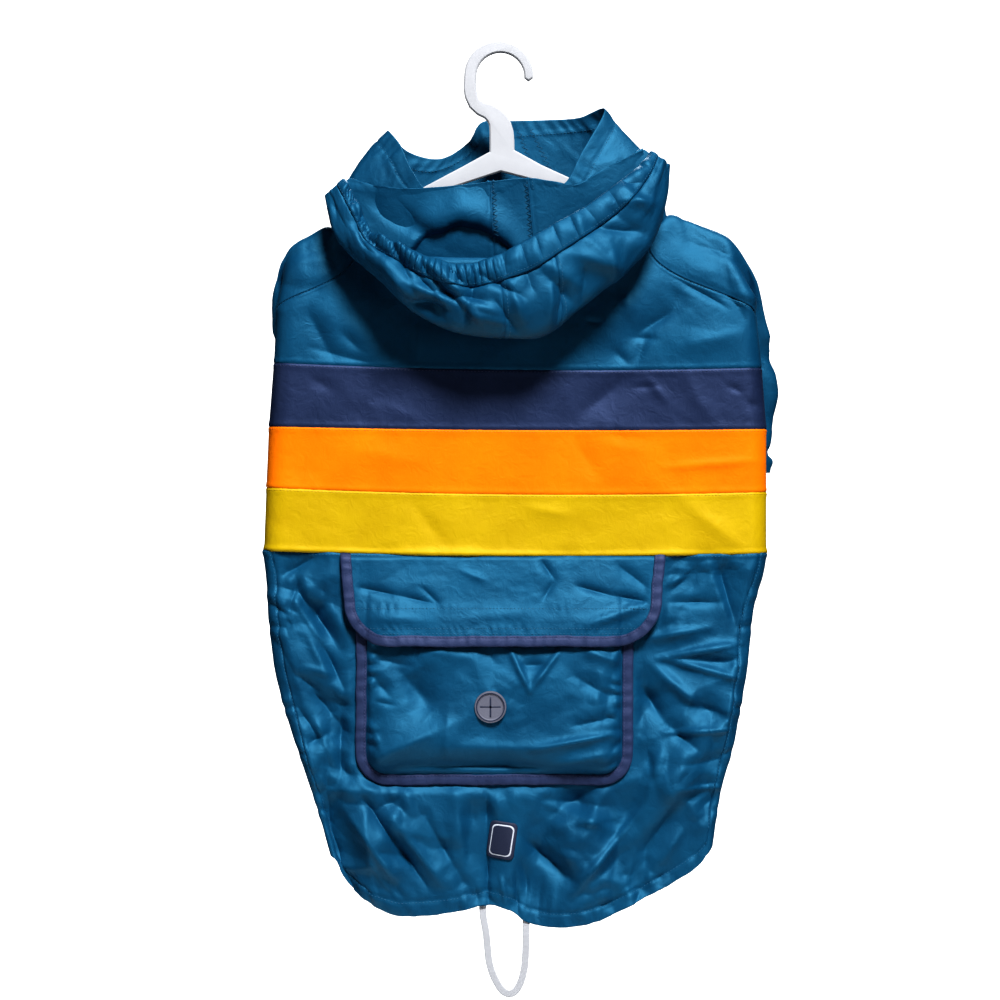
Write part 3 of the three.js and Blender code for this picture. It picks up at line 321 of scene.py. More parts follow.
# and its smaller creases, in the same columns
CREASES = [
    # yoke
    (-154, -203, -130, -250, 7, -2), (-125, -225, -108, -241, 6, -2), (-150, -238, -96, -252, 5, -1.2),
    (-64, -222, -64, -254, 3, 0.8), (159, -190, 144, -207, 4, -1.6), (144, -207, 114, -226, 4, -2.0),
    (109, -230, 127, -231, 4, -1.6), (120, -231, 110, -252, 5, -2.0), (92, -239, 106, -252, 6, -1.8),
    (72, -217, 84, -219, 4, -1.4), (116, -196, 104, -214, 4, 1.8), (150, -236, 196, -226, 12, 2.2),
    # sleeve caps
    (163, -183, 184, -207, 5, -2.0), (194, -178, 209, -226, 6, 2.4), (182, -176, 200, -222, 5, -2.0),
    (-176, -182, -150, -196, 8, -1.6), (-170, -170, -128, -168, 10, 1.6),
    # navy band
    (110, -257, 66, -294, 13, -2.6), (109, -270, 128, -269, 3, -1.0), (120, -262, 136, -282, 4, 1.0),
    (201, -281, 211, -287, 4, -1.6), (184, -268, 196, -274, 3, -1.2), (150, -258, 172, -298, 9, 1.2),
    (-150, -262, -132, -272, 6, -1.0), (-92, -284, -60, -296, 10, 0.9),
    # orange and yellow bands
    (133, -334, 212, -328, 4, 1.2), (60, -310, 84, -346, 10, -0.9), (-120, -318, -60, -330, 12, 0.9),
    (150, -362, 196, -398, 9, 1.2), (-70, -360, -40, -398, 9, -1.0), (24, -366, 60, -372, 6, 0.9),
    # lower panel, left of the pocket
    (-170, -420, -145, -405, 6, -3.0), (-158, -434, -126, -478, 9, -6.0), (-163, -438, -134, -482, 5, 3.0),
    (-166, -449, -160, -426, 4, -2.0), (-181, -441, -169, -451, 4, -3.0), (-141, -473, -121, -514, 6, -4.0),
    (-150, -470, -132, -508, 5, 2.2), (-161, -499, -141, -514, 5, -3.0), (-150, -511, -134, -528, 5, -3.0),
    (-152, -494, -130, -500, 5, 2.2), (-158, -527, -142, -551, 6, -3.0), (-153, -556, -134, -546, 4, -3.0),
    (-146, -536, -128, -576, 7, 3.0), (-124, -524, -126, -590, 5, -2.6), (-168, -470, -150, -540, 9, 2.2),
    # lower panel, right of the pocket
    (135, -429, 158, -417, 5, 3.0), (138, -434, 166, -407, 6, -3.0), (176, -409, 190, -458, 7, -4.0),
    (170, -412, 184, -456, 5, 2.0), (139, -442, 178, -442, 5, -3.0), (119, -471, 170, -462, 5, 3.0),
    (128, -487, 195, -475, 3, 3.0), (134, -487, 195, -503, 3, 3.0), (160, -488, 196, -490, 7, -3.0),
    (115, -508, 134, -537, 8, -6.0), (122, -490, 162, -526, 7, 4.0), (139, -542, 160, -560, 8, -5.0),
    (133, -546, 192, -543, 2.5, 2.5), (150, -522, 192, -534, 7, -2.4), (122, -560, 126, -588, 6, -4.0),
    (132, -556, 120, -600, 6, 3.0), (144, -591, 183, -589, 2.5, 2.2), (146, -572, 184, -566, 6, -2.0),
    # the foot of the panel
    (196, -505, 118, -640, 20, 7), (112, -596, 84, -664, 12, -4), (-70, -590, -96, -640, 14, 4),
    (30, -610, 86, -640, 18, 4), (-20, -600, -26, -664, 12, -5), (16, -640, 30, -690, 9, -4),
    (-121, -608, -73, -674, 5, 3.0), (-106, -600, -56, -669, 5, -5.0), (-84, -614, -41, -669, 4, 2.5),
    (-58, -612, -28, -664, 5, -2.6), (-34, -592, -25, -658, 5, 2.0), (-8, -596, -7, -684, 3.5, -4.0),
    (0, -596, 1, -640, 5, 2.0), (46, -620, 94, -614, 8, 2.6), (13, -625, 60, -664, 7, -6.0),
    (30, -600, 98, -626, 6, 1.8), (118, -606, 60, -674, 3.5, 3.0), (107, -636, 66, -675, 7, -3.0),
    (146, -600, 118, -640, 6, -3.0),
    (40, -600, 88, -606, 7, -2.6), (150, -622, 128, -652, 6, 2.6), (-100, -640, -62, -650, 6, -1.6),
    (3, -660, 8, -686, 3, 1.8), (14, -656, 17, -690, 3, -1.8), (27, -664, 25, -694, 3, 1.8),
    (36, -662, 33, -696, 3, -1.6), (46, -668, 42, -698, 3, 1.4), (-18, -660, -16, -684, 3, -1.4),
]

def lattice(ix, iz, seed):
    spread = np.sin(ix * 127.1 + iz * 311.7 + seed * 74.7) * 43758.5453
    return spread - np.floor(spread)

def lumps(x, z, size, seed):
    """Smooth noise, about -1 to 1, with lumps `size` across."""
    px, pz = x / size, z / size
    ix, iz = np.floor(px), np.floor(pz)
    fx, fz = px - ix, pz - iz
    sx, sz = fx ** 3 * (fx * (fx * 6 - 15) + 10), fz ** 3 * (fz * (fz * 6 - 15) + 10)
    total = 0
    for dx in (0, 1):
        for dz in (0, 1):
            turn = lattice(ix + dx, iz + dz, seed) * 2 * math.pi
            share = (sx if dx else 1 - sx) * (sz if dz else 1 - sz)
            total = total + share * (np.cos(turn) * (fx - dx) + np.sin(turn) * (fz - dz))
    return total * 1.6

def facets(x, z, size, seed, grain, long=1.8):
    """Flat three-sided facets between sharp folds, about -1 to 1, as in folded paper.
    grain is the angle of their long way, from upright towards the right."""
    across = (x * math.cos(grain) - z * math.sin(grain)) / size
    along = (x * math.sin(grain) + z * math.cos(grain)) / (size * long)
    skew = (across + along) * (math.sqrt(3) - 1) / 2
    i, j = np.floor(across + skew), np.floor(along + skew)
    s, t = across + skew - i, along + skew - j
    near, far = lattice(i, j, seed), lattice(i + 1, j + 1, seed)
    side = np.where(s > t, lattice(i + 1, j, seed), lattice(i, j + 1, seed))
    low, high = np.minimum(s, t), np.maximum(s, t)
    return 2 * (near * (1 - high) + side * (high - low) + far * low) - 1

def crumple(x, z, seed, size=36, grain=0.5):
    """The crumpling of thin crisp cloth, in mm: facets within facets, stronger in some places."""
    bent_x = x + size * 0.34 * lumps(x, z, size * 1.5, seed + 11)
    bent_z = z + size * 0.34 * lumps(x, z, size * 1.5, seed + 12)
    patches = 0.45 + 0.55 * ease(lumps(x, z, size * 2.1, seed + 6) + 0.55)
    small = 0.25 + 0.75 * ease(lumps(x, z, size * 1.3, seed + 7) + 0.4)
    return size * patches * (0.17 * facets(bent_x, bent_z, size, seed + 20, grain)
                             + 0.11 * small * facets(bent_x, bent_z, size * 0.5, seed + 30, grain - 0.6)
                             + 0.04 * small * facets(x, z, size * 0.23, seed + 40, grain + 0.5, 1.3))

def beside(x, z, x0, z0, x1, z1):
    """The share of a line passed at (x, z), and the distance away from the line."""
    ax, az = x1 - x0, z1 - z0
    part = np.clip(((x - x0) * ax + (z - z0) * az) / (ax * ax + az * az), 0, 1)
    return part, np.hypot(x - x0 - part * ax, z - z0 - part * az)

def creases_at(x, z, table, sharp=0.1):
    height = np.zeros(np.shape(x))
    for *line, wide, high in table:
        part, away = beside(x, z, *line)
        edge = sharp * wide
        soft = np.sqrt(away ** 2 + edge ** 2) - edge
        height += high * np.exp(-1.5 * (soft / wide) ** 1.25) * (0.3 + 0.7 * np.sin(math.pi * part))
    return height

def folds_at(x, z):
    height = np.zeros(np.shape(x))
    for *line, wide, high in FOLDS:
        part, away = beside(x, z, *line)
        height += high * np.exp(-(away / wide) ** 2) * (0.35 + 0.65 * np.sin(math.pi * part))
    return height

def back_relief(x, z):
    """How far the back stands out from its plain shape at (x, z)."""
    slack = np.interp(z, (-404, -396, -250, -240, -150), (0.5, 0.15, 0.16, 0.22, 0.35))
    return folds_at(x, z) + 1.5 * creases_at(x, z, CREASES) + slack * crumple(x, z, 3, grain=-0.9)

def body_points(distance, z):
    """Points at a distance round the flattened tube from the middle of the back, at height z."""
    middle, half, deep = body_half(z)
    flat = half - deep
    side, past = np.sign(distance), np.abs(distance) - flat
    turn = np.clip(past, 0, math.pi * deep) / deep
    over = np.clip(past - math.pi * deep, 0, None)
    x = middle + side * (np.minimum(np.abs(distance), flat) + deep * np.sin(turn) - over)
    fading = 1 - np.clip(past, 0, None) / (math.pi * deep)
    relief = back_relief(np.clip(x, middle - half, middle + half), z) * np.clip(fading, 0.0, 1)
    return np.stack([x, -deep * np.cos(turn) - relief, z + 0 * x], axis=-1)

def neck_points(turn):
    """The neckline; turn 0 is straight ahead, 90 the right shoulder, 180 the throat."""
    angle = np.radians(turn)
    x = NECK["middle"] + NECK["half_width"] * np.sin(angle)
    sink = np.abs(np.cos(angle)) ** 1.3
    return np.stack([x, -NECK["half_depth"] * np.cos(angle),
                     NECK["top"] + NECK["tilt"] * x - NECK["drop"] * sink], axis=-1)

def raglan(side, v):
    start = neck_points(side * RAGLAN_TURN)
    end = YOKE_SEAM[0] if side < 0 else YOKE_SEAM[2]
    away, reach = abs(start[0] - BODY_MIDDLE), seam_reach(end)
    rounds = [mix(away, reach, p) for p in (0, 0.3, 0.6, 0.83, 1)]
    heights = [mix(start[2], end, p) for p in (0, 0.3, 0.56, 0.8, 1)]
    return side * through(rounds, v * 4), through(heights, v * 4)

def yoke_points(u, v):
    """The yoke between its two raglan seams; u runs from left to right, v from the neck down."""
    u, v = np.broadcast_arrays(np.asarray(u, float), np.asarray(v, float))
    top = neck_points(mix(-RAGLAN_TURN, RAGLAN_TURN, u))
    reach, half = seam_reach(YOKE_SEAM[1]), body_half(YOKE_SEAM[1])[1]
    bottom = (mix(-reach, reach, u), cross_seam(YOKE_SEAM, mix(-reach, reach, u), half))
    left, right = raglan(-1, v), raglan(1, v)
    ends = [[raglan(side, np.array(float(end))) for end in (0, 1)] for side in (-1, 1)]
    plan = []
    for key, top_value in ((0, top[..., 0] - BODY_MIDDLE), (1, top[..., 2])):
        corners = mix(mix(ends[0][0][key], ends[1][0][key], u), mix(ends[0][1][key], ends[1][1][key], u), v)
        plan.append(mix(top_value, bottom[key], v) + mix(left[key], right[key], u) - corners)
    points = body_points(plan[0], plan[1])
    settled = ease(v / 0.5)
    points[..., 0] = mix(top[..., 0], points[..., 0], settled)
    points[..., 1] = mix(top[..., 1], points[..., 1], settled)
    return points, np.stack(plan, axis=-1)

def spaced(count, length, fine=(0.35, 0.9, 1.8, 3.2)):
    """Steps from 0 to 1 over `length` millimetres, crowded beside both ends, where the seams are."""
    ends = np.array(fine) / length
    middle = np.linspace(ends[-1], 1 - ends[-1], count)
    return np.concatenate([[0], ends[:-1], middle, 1 - ends[-2::-1], [1]])

def seam_pucker(along, away, seed):
    """Sewing draws thin cloth up: it dips at the seam and ripples beside it."""
    dip = -0.7 * np.exp(-(away / 0.8) ** 2)
    fold = 0.35 * np.exp(-((away - 2.2) / 1.6) ** 2)
    ripple = np.sin(along / 1.35 + 2.5 * lumps(along, 0 * along, 17, seed))
    ripple = ripple * lumps(along, away, 12, seed + 9)
    return dip + fold + 0.45 * ripple * np.exp(-away / 5.5)

def push(points, amount, flip=False):
    """Moves a grid of points along its own normals."""
    down, across = np.gradient(points, axis=0), np.gradient(points, axis=1)
    normal = np.cross(down, across) * (-1 if flip else 1)
    normal /= np.maximum(np.linalg.norm(normal, axis=2, keepdims=True), 1e-9)
    return points + normal * amount[..., None]

# the runs of stitches noted while the pieces are made, sewn at the end with their own thread
THREADS = {colour + "_thread": [] for colour in ("teal", "navy", "orange", "yellow", "overlock")}
OVERLOCK_PACE = 2.2

def sew(thread, line):
    THREADS[thread].append(np.asarray(line)[:, :3])

def overlocked(one, other):
    """The zigzag of an overlocked edge, from one line over to the other and back."""
    run = paces(one[None], 1)[0]
    steps = np.arange(0, run[-1], OVERLOCK_PACE)
    sides = [np.stack([np.interp(steps, run, line[:, k]) for k in range(3)], axis=-1)
             for line in (one, other)]
    return np.where((np.arange(len(steps)) % 2 == 0)[:, None], *sides)

def on_cloth(points, height, flip=False):
    """The same grid moved out to lie on the cloth, where its stitches are."""
    return push(points, np.full(points.shape[:2], height), flip)

def line_at(surface, walked, reach, axis):
    """The line over a grid where the distance walked comes to reach; axis as in paces."""
    if axis == 0:
        surface, walked = surface.swapaxes(0, 1), walked.T
    reach = np.broadcast_to(reach, len(walked))
    return np.array([[np.interp(far, walk, row[:, k]) for k in range(row.shape[1])]
                     for row, walk, far in zip(surface, walked, reach)])

WEAVE = {"yarns": 560, "gloss": 0.54, "sheen": 0.02}

def woven_cloth(name, colour, light, glint, seed, shine=0.9):
    """Thin plain-woven polyester: fine crossing yarns, faint crumple marks and an uneven dye."""
    cloth, tree, shader = new_material(name)
    uv = add_node(tree, "ShaderNodeUVMap", {}, uv_map="UVMap").outputs["UV"]
    place = add_node(tree, "ShaderNodeTexCoord", {}).outputs["Object"]
    noise = {"Vector": place, "Scale": 26, "Detail": 6, "Roughness": 0.6}
    dye = add_node(tree, "ShaderNodeTexNoise", noise).outputs["Fac"]
    yarn = {"Vector": uv, "Scale": WEAVE["yarns"], "Distortion": 0.6, "Detail": 1}
    warp, weft = (add_node(tree, "ShaderNodeTexWave", yarn, bands_direction=way) for way in ("X", "Y"))
    crossing = {0: warp.outputs["Fac"], 1: weft.outputs["Fac"]}
    weave = add_node(tree, "ShaderNodeMath", crossing, operation="MAXIMUM").outputs["Value"]
    shades = {"Factor": 0.16, "A": two_toned(tree, dye, colour, light, (0.3, 0.72)), "B": weave}
    shade = add_node(tree, "ShaderNodeMix", shades, data_type="RGBA", blend_type="MULTIPLY")
    noise = {"Vector": place, "W": seed, "Scale": 95, "Detail": 4, "Distortion": 0.8}
    marks = add_node(tree, "ShaderNodeTexNoise", noise, noise_dimensions="4D").outputs["Fac"]
    centred = add_node(tree, "ShaderNodeMath", {0: marks, 1: 0.5}, operation="SUBTRACT").outputs["Value"]
    ridge = add_node(tree, "ShaderNodeMath", {0: centred}, operation="ABSOLUTE").outputs["Value"]
    crinkle = add_node(tree, "ShaderNodeBump",
                       {"Height": ridge, "Strength": 0.33, "Distance": 0.0022}, invert=True)
    thread = add_node(tree, "ShaderNodeBump", {"Height": weave, "Strength": 0.35, "Distance": 0.0001,
                                               "Normal": crinkle.outputs["Normal"]})
    worn = add_node(tree, "ShaderNodeMapRange",
                    {"Value": dye, "To Min": WEAVE["gloss"] - 0.06, "To Max": WEAVE["gloss"] + 0.1})
    feed(shader, {
        "Base Color": shade.outputs["Result"], "Roughness": worn.outputs["Result"],
        "Normal": thread.outputs["Normal"], "Specular IOR Level": shine, "Specular Tint": (*glint, 1),
        "Sheen Weight": WEAVE["sheen"], "Sheen Roughness": 0.35, "Sheen Tint": (0.75, 0.88, 1.0, 1),
    })
    return cloth

TEAL = woven_cloth("teal_cloth", (0.003, 0.052, 0.116), (0.005, 0.074, 0.154), (0.20, 0.68, 1.0), 1)
NAVY = woven_cloth("navy_cloth", (0.012, 0.021, 0.056), (0.020, 0.032, 0.078), (0.42, 0.56, 1.0), 2, 0.75)
ORANGE = woven_cloth("orange_cloth", (0.88, 0.20, 0.001), (0.93, 0.24, 0.002), (1.0, 0.55, 0.2), 3, 0.4)
YELLOW = woven_cloth("yellow_cloth", (0.50, 0.335, 0.002), (0.56, 0.39, 0.003), (1.0, 0.85, 0.3), 4, 0.6)

def cloth_piece(name, node, points, uv, finish, joined=False, flip=False, shell=PANEL_SHELL):
    """Makes one cut piece from its points, in place of its plain solid, with its material and its UV."""
    piece = wall(name, points, *shell, uv, joined, flip)
    piece.data.materials.append(finish)
    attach(piece, "root")
    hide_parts(node)

YOKE_GRID = {"columns": 184, "wide": 440, "rows": 54, "tall": 95}
u = spaced(YOKE_GRID["columns"], YOKE_GRID["wide"])
v = spaced(YOKE_GRID["rows"], YOKE_GRID["tall"])
points, plan = yoke_points(u[None, :], v[:, None])
across = plan[..., 0]
yoke_down = np.abs(plan[..., 1] - cross_seam(YOKE_SEAM, across, 200))
# the raglan seams slant, so they are nearer than the way straight across
raglan_away = np.minimum(u, 1 - u)[None, :] * YOKE_SPREAD * RAGLAN_SLANT + 0 * across
points = push(points, seam_pucker(across, yoke_down, 21)
              + seam_pucker(plan[..., 1], raglan_away, 22) * ease(yoke_down / 6))
for column in (3, -4):
    sew("teal_thread", on_cloth(points, STITCH_AT["panel"])[5:-3, column])
cloth_piece("back_yoke_cloth", "back_yoke", points, plan, TEAL)

BAND_GRID = {"columns": 206, "rows": 23, "tall": 50}

def band(name, node, upper, lower, finish, slot, seed):
    """A straight band from side seam to side seam, between two cross seams."""
    middle = mix(upper[1], lower[1], 0.5)
    reach, half = seam_reach(middle), body_half(middle)[1]
    u, v = spaced(BAND_GRID["columns"], 2 * reach), spaced(BAND_GRID["rows"], BAND_GRID["tall"])
    distance = mix(-reach, reach, u)[None, :]
    top, bottom = cross_seam(upper, distance, half), cross_seam(lower, distance, half)
    z = mix(top, bottom, v[:, None])
    distance = distance + 0 * z
    points = body_points(distance, z)
    down = np.minimum(top - z, z - bottom)
    turned_edge = {"stripe_yellow": 1.1}.get(node, 0.3) * np.exp(-((z - bottom - 1.1) / 0.7) ** 2)
    points = push(points, seam_pucker(distance, down, seed) + turned_edge)
    plan = np.stack([distance, z], axis=-1)
    sew(slot.replace("cloth", "thread"), on_cloth(points, STITCH_AT["panel"])[3])
    cloth_piece(name, node, points, plan, finish)

band("stripe_navy_cloth", "stripe_navy", YOKE_SEAM, NAVY_SEAM, NAVY, "navy_cloth", 31)
band("stripe_orange_cloth", "stripe_orange", NAVY_SEAM, ORANGE_SEAM, ORANGE, "orange_cloth", 32)
band("stripe_yellow_cloth", "stripe_yellow", ORANGE_SEAM, YELLOW_SEAM, YELLOW, "yellow_cloth", 33)


# ---- the lower back panel -----------------------------------------------------------------------
# One long piece with free, turned and topstitched side edges, rounded corners and a hem at the tail.
# It is the most creased of all; the cloth under the pocket lies flatter.
LOWER_SIDES = [
    (-187, 215.5, -401, -403), (-184, 212, -422, -421), (-182, 204, -452, -450), (-177, 200, -494, -488),
    (-168, 194, -530, -524), (-156, 187, -566, -560), (-143, 178, -606, -592), (-132, 171, -644, -637),
]
HEM = [
    (-132, -644), (-118, -669), (-88, -689.5), (-62, -692.5), (-34, -689.5), (-7, -684.5), (10, -688.5),
    (27, -699), (54, -701.6), (82, -696), (112, -682), (143, -665), (162, -651.5), (171, -637),
]
POCKET = {"left": -112, "right": 108, "top": -446, "bottom": -587, "corner": 24, "taper": 0}
FLAP = {"left": -125, "right": 134, "top": -403, "bottom": -476, "corner": 32, "taper": 7}
LOWER_FRONT = -15
# a pouch has no edge at its top: its outline is read as going on this far above it
OPEN_ABOVE = 200
PATCH = {"x": 4, "z": -632, "width": 22, "height": 30, "corner": 4, "tilt": 0.14}
HEM_WIDTH = 11.5

def crowded(u):
    return 0.6 * u + 0.4 * ease(u)

def lower_plan(u, v):
    middle, half, _ = body_half(YELLOW_SEAM[1])
    left_x, right_x, left_z, right_z = np.moveaxis(through(LOWER_SIDES, v * (len(LOWER_SIDES) - 1)), -1, 0)
    first, last = LOWER_SIDES[0], LOWER_SIDES[-1]
    top_x = mix(first[0], first[1], u)
    top_z = cross_seam(YELLOW_SEAM, top_x - middle, half)
    bottom = through(HEM, u * (len(HEM) - 1))
    corner_x = mix(mix(first[0], first[1], u), mix(last[0], last[1], u), v)
    corner_z = mix(mix(first[2], first[3], u), mix(last[2], last[3], u), v)
    return (mix(top_x, bottom[..., 0], v) + mix(left_x, right_x, u) - corner_x,
            mix(top_z, bottom[..., 1], v) + mix(left_z, right_z, u) - corner_z)

def depth_in(shape, x, z):
    """How far (x, z) lies inside a pouch outline, whose lower corners are round."""
    left, right, bottom, corner = (shape[key] for key in ("left", "right", "bottom", "corner"))
    top = shape["top"] + OPEN_ABOVE
    narrowed = shape["taper"] * np.clip((shape["top"] - z) / (shape["top"] - bottom), 0, 1)
    px = np.abs(x - (left + right) / 2) - (right - left) / 2 + narrowed + corner
    pz = np.abs(z - (top + bottom) / 2) - (top - bottom) / 2 + corner
    return corner - np.hypot(np.maximum(px, 0), np.maximum(pz, 0)) - np.minimum(np.maximum(px, pz), 0)

def under_pocket(x, z):
    inside = np.maximum(depth_in(POCKET, x, z), np.minimum(depth_in(FLAP, x, z), FLAP["top"] + 10 - z))
    return ease((inside + 9) / 9)

def panel_relief(x, z):
    quiet = 1 - 0.88 * under_pocket(x, z)
    slack = np.interp(z, (-700, -600, -420, -404), (1.3, 1.3, 1.2, 0.6)) * quiet
    flat = 1 - 0.95 * np.exp(-(np.hypot(x - PATCH["x"], z - PATCH["z"]) / 23) ** 4)
    # the crumpling leans with the pull of the cloth: down and in from both sides
    middle = ease((x + 30) / 90)
    left, right = 1.35 * crumple(x, z, 3, grain=-0.55), crumple(x, z, 13, grain=0.6)
    return folds_at(x, z) + flat * (1.5 * creases_at(x, z, CREASES) * (0.2 + 0.8 * quiet)
                                    + slack * mix(left, right, middle))

def lower_points(u, v):
    x, z = lower_plan(crowded(u), v)
    edge = np.abs(2 * crowded(u) - 1)
    turned = np.clip((edge - 0.925) / 0.075, 0, 1)
    reach = mix(15, 5, ease(v * 1.6))
    back = reach * (1 - np.sqrt(1 - 0.98 * turned ** 2))
    y = LOWER_FRONT - panel_relief(x, z) * (1 - 0.75 * turned) + back
    return np.stack(np.broadcast_arrays(x, y, z), axis=-1)

def paces(points, axis):
    """Distance walked along a grid's rows or columns, in millimetres."""
    stride = np.linalg.norm(np.diff(points, axis=axis), axis=2)
    start = np.zeros_like(stride[:1] if axis == 0 else stride[:, :1])
    return np.concatenate([start, np.cumsum(stride, axis=axis)], axis=axis)

LOWER_GRID = {"columns": 238, "wide": 400, "rows": 190, "tall": 290}
u = spaced(LOWER_GRID["columns"], LOWER_GRID["wide"], (0.8, 2.2, 4))
v = spaced(LOWER_GRID["rows"], LOWER_GRID["tall"], (0.8, 1.8, 3.2))
points = lower_points(u[None, :], v[:, None])
plan = points[..., [0, 2]].copy()
across, down = paces(points, 1), paces(points, 0)
side_edge = np.minimum(across, across[:, -1:] - across)
edge = np.minimum(side_edge, down[-1:] - down)
round_edge = np.where(side_edge < down[-1:] - down, plan[..., 1], plan[..., 0])
hem = 0.55 * ease((HEM_WIDTH + 0.6 - edge) / 1.6)
hem -= 1.0 * np.exp(-((edge - HEM_WIDTH) / 1.1) ** 2)
hem += 0.85 * np.sin(round_edge / 2.6 + 4 * lumps(round_edge, edge, 25, 5)) * np.exp(-((edge - 7) / 7) ** 2) \
    * ease(0.5 + lumps(round_edge, 0 * edge, 30, 6)) * ease(np.hypot(side_edge, down[-1:] - down) / 30)
points = push(points, hem + seam_pucker(across, down, 34))
surface = on_cloth(points, STITCH_AT["panel"])
sew("teal_thread", surface[3])
surface = np.concatenate([surface, side_edge[..., None], (down[-1:] - down)[..., None]], axis=-1)
for reach in (HEM_WIDTH - 1, across[:, -1] - HEM_WIDTH + 1):
    line = line_at(surface, across, reach, 1)
    sew("teal_thread", line[line[:, 4] > HEM_WIDTH - 1])
line = line_at(surface, down, down[-1] - HEM_WIDTH + 1, 0)
sew("teal_thread", line[line[:, 3] > HEM_WIDTH - 1])
cloth_piece("back_lower_cloth", "back_lower", points, plan, TEAL)

# ---- the saddle pocket and its flap -------------------------------------------------------------
# A flat bag of the same cloth, sewn on round three sides and puffed out in front; the flap over its
# mouth hangs from a seam under the yellow band. Both are edged with a folded navy binding.
SEAT = 0.7
FLANGE = 1.2
PUFF = 12

def pocket_lift(x, z):
    depth = depth_in(POCKET, x, z)
    slump = mix(0.3, 1.15, ease((POCKET["top"] + 16 - z) / 100))
    side = 1 - np.clip((depth - BINDING_WIDTH - 1) / 26, 0, 1)
    foot = 1 - np.clip((z - POCKET["bottom"] - BINDING_WIDTH - 1) / 13, 0, 1)
    round_up = np.sqrt(1 - side ** 2) * np.sqrt(1 - foot ** 2) ** 0.5
    return SEAT + FLANGE * np.clip(depth / BINDING_WIDTH, 0, 1) + PUFF * slump * round_up

def flap_lift(x, z):
    over = np.maximum(pocket_lift(x, z) + WALL + 1.5 + 1.6, 7)
    tucked = 3.2 * (1 - ease((FLAP["top"] - z) / 5))
    return mix(SEAT, over, np.clip((FLAP["top"] - z) / 52, 0, 1)) - tucked

POCKET_CREASES = [
    (-100, -500, -84, -518, 7, -3), (-100, -486, -70, -492, 4, -1.6), (-98, -520, -80, -524, 3, -1.6),
    (-84, -490, -50, -528, 19, -9), (-98, -566, -40, -540, 12, 5), (-40, -566, -38, -520, 10, 3),
    (10, -478, 26, -512, 3, 3), (26, -512, 50, -480, 3, 3), (18, -492, 40, -492, 6, -3),
    (28, -558, 100, -545, 4, 4), (40, -572, 98, -560, 6, 2.5), (-74, -571, 48, -574, 9, -6),
    (60, -500, 96, -520, 6, -3), (70, -480, 100, -490, 5, 2.4), (82, -530, 104, -540, 4, -2),
    (-20, -470, 0, -490, 6, -1.6), (60, -540, 98, -532, 4, -2), (-100, -540, -92, -560, 4, 2),
    (-40, -556, 50, -558, 8, 2.5), (-60, -480, -20, -486, 8, 1.6), (-96, -580, -60, -588, 4, 2),
    (12, -580, 60, -586, 4, 1.6),
]
FLAP_ROWS = (-446, -463, -467)
FLAP_CREASES = [
    (-115, -429, -76, -437, 4, -1.8), (-76, -437, -50, -443, 4, -1.6), (-60, -430, -46, -443, 3, -1.2),
    (34, -407, 46, -424, 4, -1.8), (46, -424, 36, -441, 4, -1.6), (64, -429, 90, -436, 4, -2.2),
    (90, -436, 122, -442, 4, -2), (72, -459, 119, -444, 4, 3), (96, -412, 120, -430, 5, -1.8),
    (-20, -452, 30, -450, 4, 0.9), (-100, -452, -60, -456, 6, 1.4), (-30, -416, -10, -424, 4, 0.9),
]

def taper_at(shape, z):
    return shape["taper"] * (shape["top"] - z) / (shape["top"] - shape["bottom"])

def pouch_plan(shape, rows, columns):
    """Points over a pouch outline with two round lower corners, from left to right and top to bottom."""
    left, right, top, bottom, corner = (shape[key] for key in ("left", "right", "top", "bottom", "corner"))
    turn = np.linspace(0, math.pi / 2, rows // 4)[1:]
    z = np.concatenate([np.linspace(top, bottom + corner, rows - rows // 4),
                        bottom + corner - corner * np.sin(turn)])
    rounding = np.concatenate([np.zeros(rows - rows // 4), corner * (1 - np.cos(turn))])
    half = (right - left) / 2 - taper_at(shape, z) - rounding
    x = (left + right) / 2 + half[:, None] * np.linspace(-1, 1, columns)[None, :]
    return x, z[:, None] + 0 * x

def panel_front(x, z):
    return LOWER_FRONT - panel_relief(x, z)

x, z = pouch_plan(POCKET, 130, 180)
depth = depth_in(POCKET, x, z)
body = ease((depth - BINDING_WIDTH) / 8)
folds = (1.3 * creases_at(x, z, POCKET_CREASES) + 0.6 * crumple(x, z, 41, 34, 0.9)) * body
gathers = np.sin(z / 2.1 + 4 * lumps(x, z, 26, 42)) * np.exp(-((depth - 10) / 7) ** 2)
gathers *= ease((depth - 8.2) / 3)
y = panel_front(x, z) - WALL - pocket_lift(x, z) - folds - 1.5 * gathers * ease((np.abs(x) - 60) / 30)
points = np.stack([x, y, z], axis=-1)
cloth_piece("pocket_cloth", "pocket", points, points[..., [0, 2]], TEAL,
            shell=POUCH_SHELL)

x, z = pouch_plan(FLAP, 76, 200)
depth = depth_in(FLAP, x, z)
body = ease((depth - BINDING_WIDTH) / 6) * ease((FLAP["top"] - z) / 5)
folds = (1.6 * creases_at(x, z, FLAP_CREASES) + 0.3 * crumple(x, z, 51, 26, 1.2)) * body
# the flap's rows of stitches draw it in, the double row at its foot most
drawn = np.exp(-((z + 465) / 3.2) ** 2) - 0.9 * np.exp(-((z + 464.5) / 1.2) ** 2) \
    + 0.5 * np.exp(-((z + 446) / 3) ** 2)
ripple = 0.75 * np.sin(x / 1.25 + 5 * lumps(x, z, 19, 53)) * (0.6 + lumps(x, z, 24, 54))
folds += (0.25 + ripple) * drawn * body
y = panel_front(x, z) - WALL - flap_lift(x, z) - folds
points = np.stack([x, y, z], axis=-1)
surface = on_cloth(points, STITCH_AT["pouch"])
for height in FLAP_ROWS:
    row = np.argmin(np.abs(z[:, 0] - height))
    sew("teal_thread", surface[row][depth[row] > BINDING_WIDTH + 1])
cloth_piece("flap_cloth", "flap", points, points[..., [0, 2]], TEAL,
            shell=POUCH_SHELL)

